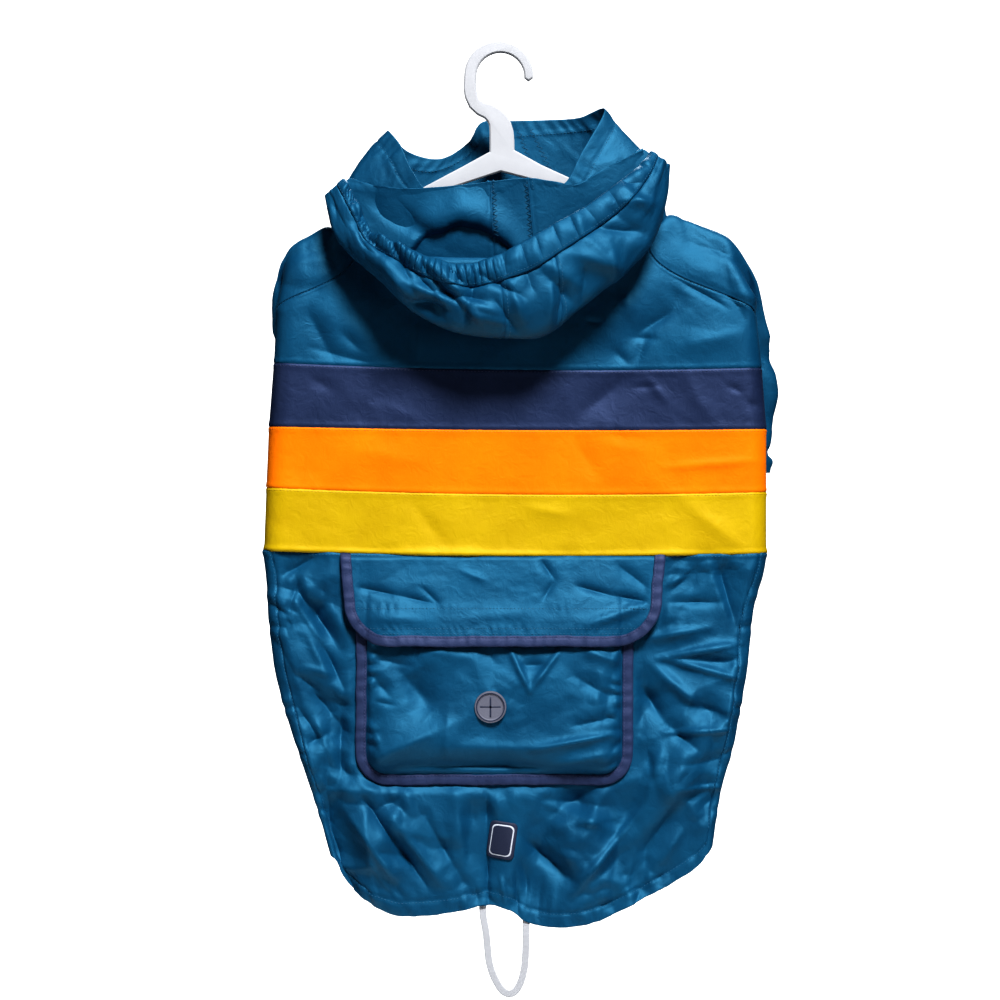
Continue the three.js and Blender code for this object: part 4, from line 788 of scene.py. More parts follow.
OUTLINE_PACE = 1.6

def outline(shape, inset):
    """The pouch outline drawn in by inset: down the left side, round the bottom, up the right."""
    left, right, top, bottom, corner = (shape[key] for key in ("left", "right", "top", "bottom", "corner"))
    radius = max(corner - inset, 0.5)
    tall = top - bottom - corner
    turn = np.linspace(0, math.pi / 2, 26)
    side_z = np.linspace(top, bottom + corner, max(int(tall / OUTLINE_PACE), 2))
    half = (right - left) / 2
    side = np.stack([half - inset - taper_at(shape, side_z), side_z], axis=-1)
    corner_x = half - corner + radius * np.cos(turn[1:])
    corner_z = bottom + corner - radius * np.sin(turn[1:])
    bend = np.stack([corner_x - taper_at(shape, corner_z), corner_z], axis=-1)
    foot = np.linspace(bend[-1][0], 0, int((half - corner) / OUTLINE_PACE))[1:]
    right_half = np.concatenate([side, bend, np.stack([foot, 0 * foot + bend[-1][1]], axis=-1)])
    left_half = right_half * [-1, 1]
    whole = np.concatenate([left_half, right_half[-2::-1]])
    whole[:, 0] += (left + right) / 2
    return whole

# the tape's lines from its outer to its inner edge: how far inside the outline, how high
BINDING_PROFILE = [
    (-0.8, 0.25), (-0.5, 0.9), (0.4, 1.35), (1.8, 1.5), (3.6, 1.45), (5.2, 1.35), (6.6, 1.25),
    (7.4, 1.1), (7.9, 0.7), (8.0, 0.2),
]
BINDING_MIDDLE, BINDING_STITCHED = 4, 6

def binding(name, node, shape, lift, clear, seed):
    insets, crown = np.array(BINDING_PROFILE).T
    lines = [outline(shape, inset) for inset in insets]
    grid = np.stack([np.stack([line[:, 0], 0 * line[:, 0], line[:, 1]], axis=-1) for line in lines])
    run = paces(grid[BINDING_MIDDLE][None], 1)[0]
    x, z = grid[..., 0], grid[..., 2]
    grid[..., 1] = panel_front(x, z) - WALL - lift(x, z) - clear
    wave = np.sin(run / 1.6 + 3 * lumps(run, 0 * run, 21, seed + 1))
    draw = lumps(run, 0 * run, 9, seed) * 0.5 + 0.4 * wave
    middle = grid[BINDING_MIDDLE]
    inward = np.stack([np.gradient(middle[:, 2]), -np.gradient(middle[:, 0])], axis=-1)
    inward /= np.linalg.norm(inward, axis=1, keepdims=True)
    stray = 0.7 * lumps(run, 0 * run, 30, seed + 2) + 0.4 * lumps(run, 0 * run, 8, seed + 3)
    grid[..., 0] += inward[:, 0] * stray
    grid[..., 2] += inward[:, 1] * stray
    outer = crown[:, None] * (1 + 0.35 * draw[None, :]) + 0.2 * draw[None, :]
    outer[BINDING_STITCHED] -= 0.35
    uv = np.stack(np.broadcast_arrays(run[None, :], insets[:, None]), axis=-1)
    sew("navy_thread", push(grid, outer + 0.05, flip=True)[BINDING_STITCHED])
    piece = wall(name, grid, -0.2, outer, uv, flip=True)
    piece.data.materials.append(BINDING)
    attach(piece, "root")
    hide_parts(node)

BINDING = woven_cloth("binding_tape", (0.024, 0.038, 0.092), (0.038, 0.056, 0.124), (0.6, 0.65, 1.0), 5, 0.5)
binding("pocket_binding_tape", "pocket_binding", POCKET, pocket_lift, 0.5, 61)
binding("flap_binding_tape", "flap_binding", FLAP, flap_lift, 1.2, 62)

# ---- the sleeves and the belly panel ------------------------------------------------------------
# Short raglan sleeves, pushed behind the body, with an elastic cuff that draws them in; the belly
# panel joins them on the far side. All of the same teal cloth.
BELLY_HEM, BELLY_ARMPIT, BELLY_HEM_WIDTH = -426, 0.36, 10.5
SLEEVE_GAP = 0.0045
ARMPIT_STAND = WALL * 2 + 0.6
CAP_ROWS, CAP_COLUMNS, TUBE_ROWS = 50, 106, 64
CUFF_STITCHES = (21, 24)
SLEEVES = {
    "left": {
        "side": -1,
        "ridge": [(-129, 0, -137), (-148, 0, -147), (-166, 0, -158), (-177, 4, -182), (-178, 20, -222)],
        "rear": [(-124, 13, -146), (-143, 18, -160), (-160, 24, -177), (-168, 33, -196), (-142, 42, -214)],
        "inner": [(-117, 15, -153), (-130, 20, -170), (-142, 25, -190), (-138, 32, -210), (-100, 33, -226)],
        # z, x, half width, y, half depth
        "tube": [(-270, -132, 46, 32, 12), (-294, -131, 45, 33, 12), (-314, -130, 43, 34, 11),
                 (-321, -129, 38, 34, 8.5), (-329, -129, 41.5, 34, 11), (-337, -129, 39, 34, 9)],
    },
    "right": {
        "side": 1,
        "ridge": [(136, 0, -126.5), (161, 0, -139), (187, 1, -153), (208, 8, -182), (219, 24, -226)],
        "rear": [(133, 13, -139), (156, 18, -153), (180, 24, -170), (198, 33, -192), (184, 43, -212)],
        "inner": [(126, 15, -146), (142, 20, -163), (160, 25, -184), (170, 32, -206), (142, 34, -226)],
        "tube": [(-262, 178, 48.5, 33, 12), (-294, 178, 47, 34, 12), (-313, 177.5, 44.5, 34, 11),
                 (-321, 177.5, 41.5, 34, 8.5), (-329, 178, 45, 34, 11), (-337, 178, 42, 34, 9)],
    },
}

# the soft creases of the belly panel: a pull from each armpit, and a sag over its hem
BELLY_CREASES = [
    (-92, -262, -30, -330, 14, 3), (134, -256, 70, -326, 14, 3), (-84, -292, -44, -392, 12, -2.4),
    (124, -286, 92, -398, 13, -2.6), (-20, -300, 30, -312, 16, 2), (-10, -350, 74, -340, 14, -2),
    (-60, -404, 40, -396, 12, 2.4), (60, -372, 120, -404, 10, 2), (8, -214, 14, -262, 12, -2),
]

def along_knots(knots, step):
    """Each sample's own smooth curve through its knots, read at its step."""
    knots = np.stack(np.broadcast_arrays(*knots))
    padded = np.concatenate([[2 * knots[0] - knots[1]], knots, [2 * knots[-1] - knots[-2]]])
    step = np.broadcast_to(step, knots.shape[1:-1])
    first = np.clip(np.floor(step).astype(int), 0, len(knots) - 2)
    pick = [np.take_along_axis(padded, (first + k)[None, ..., None], axis=0)[0] for k in range(4)]
    return spline(*pick, (step - first)[..., None])

def belly_edge(side, v):
    neck = neck_points(side * (180 - RAGLAN_TURN))
    armpit = yoke_points(0.0 if side < 0 else 1.0, 1.0)[0]
    upper = mix(neck, armpit, (np.minimum(v, BELLY_ARMPIT) / BELLY_ARMPIT)[..., None])
    z = mix(armpit[2], BELLY_HEM, (v - BELLY_ARMPIT) / (1 - BELLY_ARMPIT))
    held = np.maximum(z, BODY_ROWS["z"][-1])
    lower = body_points(side * seam_reach(held), held)
    lower[..., 2] = z
    return np.where((v <= BELLY_ARMPIT)[..., None], upper, lower)

def belly_points(u, v):
    u, v = np.broadcast_arrays(np.asarray(u, float), np.asarray(v, float))
    left, right = belly_edge(-1, v), belly_edge(1, v)
    top = neck_points(mix(-(180 - RAGLAN_TURN), -(180 + RAGLAN_TURN), u))
    ends = [belly_edge(side, np.array(0.0))[2] for side in (-1, 1)]
    dip = (top[..., 2] - mix(ends[0], ends[1], u)) * (1 - v)
    sag = (top[..., 1] - left[..., 1]) * (1 - ease(v / 0.4)) * np.sin(math.pi * u)
    x = mix(left[..., 0] + 0.5, right[..., 0] - 0.5, u)
    y = mix(left[..., 1], right[..., 1], u) + sag
    return np.stack([x, y, mix(left[..., 2], right[..., 2], u) + dip], axis=-1)

def sleeve(name, node, shape, seed):
    side = shape["side"]
    t = np.linspace(0, 1, CAP_ROWS)[:, None]
    c = np.linspace(0, 1, CAP_COLUMNS)[None, :]
    edge = -SLEEVE_GAP if side < 0 else 1 + SLEEVE_GAP
    front = yoke_points(edge, t)[0]
    back = belly_points(edge, t * BELLY_ARMPIT)
    front[..., 1] += ARMPIT_STAND * ease((t - 0.55) / 0.3)
    back[..., 1] += ARMPIT_STAND * ease(t / 0.25)
    front = mix(front, back, np.clip((t - 0.875) / 0.125, 0, 1)[..., None])
    ridge, rear, inner = (through(shape[key], t * 4) for key in ("ridge", "rear", "inner"))
    crest = mix(front, ridge, np.array([0.62, 0.3, 0.62]))
    lines = (front, crest, ridge, rear, inner, back)
    knots = [np.broadcast_to(line, (CAP_ROWS, CAP_COLUMNS, 3)) for line in lines]
    cap = along_knots(knots, np.broadcast_to(c * (len(lines) - 1), (CAP_ROWS, CAP_COLUMNS)))
    neck = neck_points(side * mix(RAGLAN_TURN + 0.4, 180 - RAGLAN_TURN - 0.4, c)) + [side * 1.2, 0, -0.8]
    cap = mix(neck, cap, ease(t * 8)[..., None])
    angle = c[0] * 2 * math.pi
    rings = [cap[-1]]
    for z, x, half, y, deep in shape["tube"]:
        square_x = np.sign(np.sin(angle)) * np.abs(np.sin(angle)) ** 0.8
        square_y = np.sign(np.cos(angle)) * np.abs(np.cos(angle)) ** 0.8
        rings.append(np.stack([x + side * half * square_x, y - deep * square_y, z + 0 * angle], axis=-1))
    tube = through(rings, np.linspace(0, len(rings) - 1, TUBE_ROWS))[1:]
    points = np.concatenate([cap, tube])
    run, down = paces(points, 1), paces(points, 0)
    cuff = down[-1:] - down
    gather = np.sin(run / 1.9 + 2.5 * lumps(run, 0 * run, 22, seed + 3)) * np.exp(-((cuff - 11) / 9) ** 2)
    amount = creases_at(points[..., 0], points[..., 2], CREASES) * ease((30 - points[..., 1]) / 20) \
        + 0.5 * crumple(run, down, seed, grain=0.3) + 1.3 * gather
    settle = ease(run / 6) * ease((run[:, -1:] - run) / 6)
    points = push(points, amount * settle, flip=side < 0)
    for up in CUFF_STITCHES:
        surface = on_cloth(points, STITCH_AT["panel"], side < 0)
        sew("teal_thread", line_at(surface, down, down[-1] - up, 0))
    cloth_piece(name, node, points, np.stack([run, down], axis=-1), TEAL,
                flip=side < 0)

sleeve("sleeve_left_cloth", "sleeve_left", SLEEVES["left"], 71)
sleeve("sleeve_right_cloth", "sleeve_right", SLEEVES["right"], 81)

BELLY_GRID = {"columns": 90, "wide": 360, "rows": 76, "tall": 330}
u = spaced(BELLY_GRID["columns"], BELLY_GRID["wide"], (1, 2.5))
v = spaced(BELLY_GRID["rows"], BELLY_GRID["tall"], (1, 2.5))
v_rows = np.where(v < 4 / 11, v * 11 * BELLY_ARMPIT / 4, mix(BELLY_ARMPIT, 1, (v * 11 - 4) / 7))
points = belly_points(u[None, :], v_rows[:, None])
run, down = paces(points, 1), paces(points, 0)
held = ease(np.minimum(np.minimum(run, run[:, -1:] - run), down) / 14)
amount = crumple(points[..., 0], points[..., 2], 91, 52, 0.2)
amount = amount + 1.4 * creases_at(points[..., 0], points[..., 2], BELLY_CREASES, 0.4)
below = down[-1:] - down
hem = 0.5 * ease((BELLY_HEM_WIDTH + 0.5 - below) / 1.6)
hem -= 0.9 * np.exp(-((below - BELLY_HEM_WIDTH) / 1.1) ** 2)
points = push(points, held * amount + hem, flip=True)
surface = on_cloth(points, STITCH_AT["panel"], True)
sew("teal_thread", line_at(surface, down, down[-1] - (BELLY_HEM_WIDTH - 1), 0))
cloth_piece("belly_panel_cloth", "belly_panel", points, points[..., [0, 2]], TEAL,
            flip=True)

# ---- the collar ---------------------------------------------------------------------------------
# A wide stand-up funnel at the neck, hanging open over the hanger; its edge is turned in to a casing
# and drawn up, so it puckers, and the sides stand out in soft peaks.
COLLAR_EDGE = [
    (0, -23, -122), (34, -22, -119), (55, -20, -106), (67, -15, -83), (86, 1, -46.5), (66, 18, -50.5),
    (42, 23, -51.5), (14, 25, -52), (-12, 25, -53), (-24, 25, -70), (-46, 23, -83), (-72, 16, -78),
    (-87, 1, -63), (-77, -12, -76), (-68, -18, -96), (-50, -21, -116), (0, -23, -122),
]
COLLAR_BULGE, COLLAR_GIRTH, COLLAR_CASING = 11, 620, 13
# the overlocked seams on the far wall: the two columns of the grid that each zigzags between
COLLAR_SEAMS = ((132, 134), (139, 141))

def collar_points(turn, v):
    base = neck_points(turn * 360)
    edge = through(COLLAR_EDGE, turn * (len(COLLAR_EDGE) - 1))
    side = np.sin(turn * 2 * math.pi)
    bulge = COLLAR_BULGE * side * np.abs(side) * np.sin(math.pi * v)
    foot = base[..., 2] + 1.2 - 1.4 * side ** 8
    x, z = mix(edge[..., 0], base[..., 0], v) + bulge, mix(edge[..., 2], foot, v)
    # the near wall sags in behind the hood
    near = np.cos(turn * 2 * math.pi) > 0
    sag = 6 * np.exp(-((x + 28) / 34) ** 2 - ((z + 150) / 19) ** 2) * ease((1 - v) / 0.15) * near
    return np.stack([x, mix(edge[..., 1], base[..., 1], v) + sag, z], axis=-1)

COLLAR_GRID = {"columns": 320, "rows": 50, "tall": 80}
turn = np.linspace(0, 1, COLLAR_GRID["columns"], endpoint=False)[None, :]
v = spaced(COLLAR_GRID["rows"], COLLAR_GRID["tall"], (0.8, 2, 3.5))[:, None]
points = collar_points(turn, v)
down = paces(points, 0)
run = turn * COLLAR_GIRTH + 0 * down
casing = np.exp(-((down - 8) / 9) ** 2)
gather = np.sin(run / 2.2 + 3 * lumps(run, 0 * run, 35, 96)) * casing
amount = 0.28 * gather + 0.4 * crumple(run, down, 97, 26, 0.3) * ease(down / 10)
amount -= 0.7 * np.exp(-((down - COLLAR_CASING) / 1.1) ** 2)
amount *= ease((down[-1:] - down) / 8)
points = push(points, amount)
# its row of stitches shows on both sides
for height in (STITCH_AT["wrong_side"], 1.3):
    line = line_at(on_cloth(points, height), down, COLLAR_CASING + 0.5, 0)
    sew("teal_thread", np.concatenate([line, line[:1]]))
wrong_side = on_cloth(points, STITCH_AT["wrong_side"])
for one, other in COLLAR_SEAMS:
    sew("overlock_thread", overlocked(wrong_side[4:, one], wrong_side[4:, other]))
cloth_piece("collar_cloth", "collar", points, np.stack([run, down], axis=-1), TEAL,
            joined=True)

# ---- the hood -----------------------------------------------------------------------------------
# Three panels, two sides and a strip between them, that hang forward from the neck as a pouch; the
# rim is gathered on an elastic in a casing and stands off the back, showing the hollow inside.
HOOD = [
    # the rim's x and z, the lowest line's x and z, the upper fold's x and z
    (-122, -107, -136, -118, -117, -103), (-107, -130, -128, -146, -104, -108),
    (-97, -150, -112, -170, -90, -110), (-76, -161, -90, -189, -74, -112),
    (-54, -170, -64, -214, -52, -112), (-27, -176, -27, -229, -25, -110), (0, -169, 6, -231, 0, -107),
    (25, -156, 36, -229, 24, -105), (47, -143, 60, -212, 44, -107), (71, -129, 90, -187, 63, -109),
    (95, -111, 120, -159, 84, -97), (112, -97, 134, -122, 104, -86), (122, -86, 138, -93, 116, -80),
]
HOOD_LAST = len(HOOD) - 1
HOOD_STRIP = ((5.8, 7.03), (6.05, 7.75))
HOOD_CASING, HOOD_TURN, HOOD_SEWN = 0.855, 80, 2.5
HOOD_ROWS, HOOD_SEED, HOOD_STEP_WIDTH = 140, 101, 22
# the overlocked seams inside: the rows that they run over, and the columns each zigzags between
HOOD_SEAM_ROWS, HOOD_SEAMS = slice(33, 86), ((1, 6), (-2, -7))
# the casing: its width laid flat, and its grid
CASING_WIDTH, CASING_COLUMNS, CASING_ROWS = 15, 520, 22

def hood_points(step, w):
    """step runs across the hood; w from the neck seam over the top, down inside and up to the rim."""
    step, w = np.broadcast_arrays(np.asarray(step, float), np.asarray(w, float))
    rim_x, rim_z, low_x, low_z, fold_x, fold_z = np.moveaxis(through(HOOD, step), -1, 0)
    full = np.sin(math.pi * (step + 0.6) / (HOOD_LAST + 1.2)) ** 0.75
    neck = neck_points(mix(-HOOD_TURN, HOOD_TURN, step / HOOD_LAST))
    fold_y, low_y, rim_y = -14 - 19 * full, -18 - 44 * full, -17 - 58 * full
    sewn = neck + [0, -HOOD_SEWN, 2]
    fold = np.stack([fold_x, fold_y, fold_z], axis=-1)
    low = np.stack([low_x, low_y, low_z], axis=-1)
    rim = np.stack([rim_x, rim_y, rim_z], axis=-1)
    def between(a, b, part, y):
        point = mix(a, b, part)
        point[..., 1] = y
        return point
    knots = [
        sewn, between(sewn, fold, 0.6, mix(sewn[..., 1], fold_y, 0.75) + 1), fold,
        between(fold, low, 0.5, fold_y + 6 * full - 2),
        between(fold, low, 0.86, mix(fold_y + 9 * full, low_y, 0.22)), low,
        between(low, rim, 0.35, rim_y - 3), between(low, rim, 0.75, rim_y - 3), rim,
    ]
    return along_knots(knots, w * (len(knots) - 1))

# creases of the hood's front face, in the same (x, z) as those of the back
HOOD_CREASES = [
    (-100, -136, -84, -160, 9, 4), (-66, -166, -44, -206, 8, -4), (-46, -178, -10, -222, 7, 4),
    (-16, -184, -26, -222, 6, -3), (8, -186, 22, -222, 7, 3), (34, -180, 60, -206, 8, -3),
    (58, -168, 96, -176, 9, 4), (76, -146, 116, -150, 7, -3.5), (96, -126, 124, -126, 6, 3),
    (-116, -122, -92, -168, 5, -3), (-106, -118, -74, -168, 4, 3), (-88, -140, -66, -196, 5, -3),
    (-72, -160, -38, -212, 5, 3.5), (-58, -176, -24, -214, 4, -3), (-36, -200, 4, -214, 5, 3),
    (44, -184, 40, -220, 5, 2.4), (70, -176, 66, -208, 5, -2.2), (88, -158, 92, -188, 6, 2.2),
    (-112, -140, -78, -176, 6, -3.5), (-98, -128, -60, -186, 6, 3), (-84, -158, -52, -196, 5, -3.5),
    (-62, -168, -30, -200, 5, 3), (-52, -196, -8, -206, 6, -5), (-40, -178, -20, -196, 4, -2),
    (-2, -204, 16, -228, 4, -2.4), (54, -192, 46, -222, 4, -2.4), (-90, -172, -66, -202, 5, 2.4),
    (30, -170, 70, -196, 9, 2), (64, -150, 92, -176, 8, 1.8), (84, -130, 116, -150, 7, -1.6),
    (20, -176, 30, -200, 5, -1.4), (-30, -210, 10, -222, 5, 2), (-70, -206, -40, -220, 5, -2),
    (-120, -122, -104, -150, 5, 2.4), (100, -116, 122, -134, 5, 1.6), (-12, -184, 20, -202, 4, -3),
    (-72, -190, -32, -206, 6, 3), (-68, -205, -38, -213, 8, -6), (-106, -128, -96, -150, 4, -3),
]

def hood_fall(points, step, w):
    x, z = points[..., 0], points[..., 2]
    front = ease((w - 0.56) / 0.12)
    folds = 1.5 * creases_at(x, z, HOOD_CREASES) * front
    radiating = np.sin(step * 9 + 2.2 * lumps(step * 14, w * 40, 30, HOOD_SEED + 1))
    rising = np.interp(step, (0, 4, 6, 8, 12), (1.6, 1.6, 1.0, 0.8, 0.7))
    radiating = radiating * ease((w - 0.72) / 0.2) * rising
    loose = 0.55 * crumple(step * HOOD_STEP_WIDTH, w * 300, HOOD_SEED, 30, -0.5) * (0.5 + 0.5 * front)
    # the wall inside bulges over a deep hollow behind the gathers, and sinks again on the left
    inside = ease((w - 0.2) / 0.06) * ease((0.6 - w) / 0.06)
    lip = -139 - 10 * ((x + 28) / 28) ** 2 + 2.5 * lumps(x, 0 * x, 17, 9)
    hollow = 10 * ease((lip - z) / 9) * ease((z + 171) / 11)
    hollow -= 8 * np.exp(-((z - lip - 7) / 15) ** 2 - ((x + 28) / 44) ** 2)
    hollow += 4.5 * np.exp(-((0.51 * x + 0.86 * z + 155.6) / 7) ** 2 - ((x + 74) / 24) ** 4)
    return folds + 0.8 * radiating + loose + inside * hollow

def hood_panel(name, node, start, end, columns):
    w = (np.linspace(0, 1, HOOD_ROWS) * (HOOD_CASING + 0.002))[:, None]
    turned = ease((w - 0.5) / 0.2)
    start, end = mix(start[0], start[1], turned), mix(end[0], end[1], turned)
    u = spaced(columns, HOOD_STEP_WIDTH * float((end - start).mean()), (0.5, 1.4))[None, :]
    step = mix(start, end, u)
    points = hood_points(step, w)
    run, down = paces(points, 1), paces(points, 0)
    edge = np.minimum(run, run[:, -1:] - run)
    sewn = ease(down / 10)
    amount = hood_fall(points, step, w + 0 * step) * sewn
    if start.max() > 0:
        amount = amount + seam_pucker(down, run, HOOD_SEED + 3) * sewn
    if end.min() < HOOD_LAST:
        amount = amount + seam_pucker(down, run[:, -1:] - run, HOOD_SEED + 4) * sewn
    # the seam under the casing lies in a crease
    amount = amount - 1.8 * np.exp(-((w - HOOD_CASING) / 0.014) ** 2)
    points = push(points, amount, flip=True)
    surface = on_cloth(points, STITCH_AT["panel"], True)
    if start.max() > 0:
        sew("teal_thread", surface[30:, 3])
    if node == "hood_centre":
        wrong_side = on_cloth(points, STITCH_AT["wrong_side"], True)
        for outer, inner in HOOD_SEAMS:
            edges = wrong_side[HOOD_SEAM_ROWS, outer], wrong_side[HOOD_SEAM_ROWS, inner]
            sew("overlock_thread", overlocked(*edges))
    cloth_piece(name, node, points, np.stack([run, down], axis=-1), TEAL, flip=True)

LEFT_SEAM, RIGHT_SEAM = zip(*HOOD_STRIP)
hood_panel("hood_left_cloth", "hood_left", (0, 0), LEFT_SEAM, 122)
hood_panel("hood_centre_cloth", "hood_centre", LEFT_SEAM, RIGHT_SEAM, 40)
hood_panel("hood_right_cloth", "hood_right", RIGHT_SEAM, (HOOD_LAST, HOOD_LAST), 98)

u = np.linspace(0, 1, CASING_COLUMNS)[None, :]
v = np.linspace(0, 1, CASING_ROWS)[:, None]
step = u * HOOD_LAST + 0 * v
points = hood_points(step, mix(HOOD_CASING - 0.004, 1, v))
run = paces(points, 1)[CASING_ROWS // 2][None, :] + 0 * v
base = hood_fall(points, step, HOOD_CASING + 0 * step)
tight = np.interp(step, (0, 1.6, 3.4, 5.2, 6.4, 8.5, 12), (0.5, 0.6, 1.15, 1.15, 0.45, 0.36, 0.3))
phase = np.cumsum(tight * np.gradient(run, axis=1), axis=1) + 5 * lumps(run, 0 * run, 32, 111)
slant = (v - 0.5) * (1.6 + 2.4 * lumps(run, 0 * run, 40, 113))
strength = np.interp(step, (0, 3, 6, 8, 12), (1.8, 1.5, 1.3, 1.5, 1.1))
strength *= 1.0 + 0.7 * lumps(run, 0 * run, 26, 112)
gather = 1.5 * np.abs(np.sin((phase + slant) / 2)) ** 0.7 - 0.9
fine = 0.25 * np.sin(2.3 * phase + 3 * slant + 4 * lumps(run, v * CASING_WIDTH, 9, 114))
gather += fine * ease((8 - step) / 3)
bead = 2.2 * np.sin(math.pi * v) ** 0.6
amount = base + gather * strength * (0.3 + 0.8 * np.sin(math.pi * v)) + bead
points = push(points, amount, flip=True)
uv = np.stack(np.broadcast_arrays(run, v * CASING_WIDTH), axis=-1)
sew("teal_thread", on_cloth(points, STITCH_AT["casing"], True)[2])
cloth_piece("hood_casing_cloth", "hood_casing", points, uv, TEAL, flip=True,
            shell=CASING_SHELL)

# ---- the hanger ---------------------------------------------------------------------------------
# One moulded piece of glossy white plastic: a hook, a stem with a bend and two sloping arms inside
# the shoulders.
def white_plastic():
    plastic = grained("white_plastic", 40, (0.50, 0.51, 0.54), (0.55, 0.56, 0.59), 0.22, (0.2, 0.0004))
    feed(plastic.node_tree.nodes["Principled BSDF"],
         {"Subsurface Weight": 0.15, "Subsurface Radius": (0.004, 0.004, 0.004)})
    return plastic

def softened(name, node, width, material, angle=35):
    """A finer copy of a moulded CAD part with its edges rounded."""
    mesh = bpy.data.objects[node].data.copy()
    raw = bpy.data.objects.new(name, mesh)
    bpy.context.scene.collection.objects.link(raw)
    raw.matrix_world = bpy.data.objects[node].matrix_world
    weld = raw.modifiers.new("weld", "WELD")
    weld.merge_threshold = 1e-5
    bevel = raw.modifiers.new("bevel", "BEVEL")
    bevel.width, bevel.segments = width, 3
    bevel.limit_method, bevel.angle_limit = "ANGLE", math.radians(angle)
    final = bpy.data.meshes.new_from_object(raw.evaluated_get(bpy.context.evaluated_depsgraph_get()))
    final.transform(raw.matrix_world)
    bpy.data.objects.remove(raw)
    piece = bpy.data.objects.new(name, final)
    bpy.context.scene.collection.objects.link(piece)
    final.materials.clear()
    final.materials.append(material)
    final.shade_smooth()
    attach(piece, "root")
    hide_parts(node)

softened("hanger_moulding", "hanger", 0.0009, white_plastic())

# ---- the lead outlet and the plain patch --------------------------------------------------------
# A moulded rubber disc on the pocket, with a raised rim and a crossed slit; the slit and the groove by the
# rim are not cut, and their shade is painted as dark lines. And a small moulded patch near the tail, left
# plain.
def soft_rubber(name, dark, light):
    return grained(name, 900, dark, light, 0.62, (0.3, 0.0002), detail=3)

SLATE = soft_rubber("grey_rubber", (0.115, 0.12, 0.16), (0.145, 0.15, 0.195))
# dark rubber for the patch; the same dark is also the painted shade in the outlet's slit and groove
DARK_RUBBER_AND_SHADE = soft_rubber("dark_rubber_and_painted_shade", (0.014, 0.020, 0.050), (0.022, 0.030, 0.065))
softened("outlet_disc", "outlet_button", 0.0004, SLATE, angle=30)

SLIT_SHADE_SHELL = (-0.3, 0.12)
OUTLET = {"x": -5.2, "z": -524.4, "groove": 11.0, "groove_width": 0.9, "arm": 8.2, "slot": 1.5, "sink": 1.0}

def painted_slit_shade(name, across, up, depth):
    """A dark line let into the sunk face of the outlet, from its grid of places: painted shade for its slit
    or groove.
    """
    rim = min(corner.co.y for corner in bpy.data.objects["outlet_disc"].data.vertices) * 1000
    across, up = np.broadcast_arrays(across, up)
    grid = np.stack([OUTLET["x"] + across, 0 * across + rim + depth, OUTLET["z"] + up], axis=-1)
    piece = wall(name, grid, *SLIT_SHADE_SHELL, joined=name == "outlet_groove_shade")
    piece.data.materials.append(DARK_RUBBER_AND_SHADE)
    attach(piece, "root")
    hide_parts("outlet_button")

# the slit and the groove get no cut: dark lines of painted shade lie where their shade would fall
long, short = OUTLET["arm"] * np.linspace(-1, 1, 9), OUTLET["slot"] / 2 * np.linspace(-1, 1, 3)
painted_slit_shade("outlet_slit_shade_level", long[None, :], -short[:, None], OUTLET["sink"])
painted_slit_shade("outlet_slit_shade_upright", short[None, :], -long[:, None], OUTLET["sink"])
angle = np.linspace(0, 2 * math.pi, 72, endpoint=False)[None, :]
radius = OUTLET["groove"] + OUTLET["groove_width"] / 2 * np.linspace(-1, 1, 3)[:, None]
painted_slit_shade("outlet_groove_shade", radius * np.cos(angle), radius * np.sin(angle), 0)

def patch_plate(name, shrink, low, high, material):
    width, height, corner = PATCH["width"] - 2 * shrink, PATCH["height"] - 2 * shrink, PATCH["corner"]
    s, t = np.linspace(-1, 1, 41)[None, :], np.linspace(1, -1, 51)[:, None]
    a, b = s * width / 2 + 0 * t, t * height / 2 + 0 * s
    over_a = np.maximum(np.abs(a) - width / 2 + corner, 0)
    over_b = np.maximum(np.abs(b) - height / 2 + corner, 0)
    pull = np.maximum(over_a, over_b) / np.maximum(np.hypot(over_a, over_b), 1e-6)
    pull = np.where(np.minimum(over_a, over_b) > 0, pull, 1)
    a = np.sign(a) * (np.abs(a) - over_a + over_a * pull)
    b = np.sign(b) * (np.abs(b) - over_b + over_b * pull)
    x = PATCH["x"] + a * math.cos(PATCH["tilt"]) + b * math.sin(PATCH["tilt"])
    z = PATCH["z"] - a * math.sin(PATCH["tilt"]) + b * math.cos(PATCH["tilt"])
    rim = np.minimum(width / 2 - np.abs(s) * width / 2, height / 2 - np.abs(t) * height / 2)
    round_up = np.sqrt(1 - (1 - np.clip(rim / 0.8, 0, 1)) ** 2)
    grid = np.stack([x, panel_front(x, z) - 1.2, z], axis=-1)
    piece = wall(name, grid, low, mix(low + 0.2, high, round_up))
    piece.data.materials.append(material)
    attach(piece, "root")
    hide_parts("patch")

patch_plate("patch_base", 0, 0.1, 1.5, DARK_RUBBER_AND_SHADE)
patch_plate("patch_ring", 2.2, 0.9, 1.9, soft_rubber("pale_rubber", (0.50, 0.53, 0.60), (0.56, 0.59, 0.66)))
patch_plate("patch_face", 3.1, 1.2, 2.1, DARK_RUBBER_AND_SHADE)

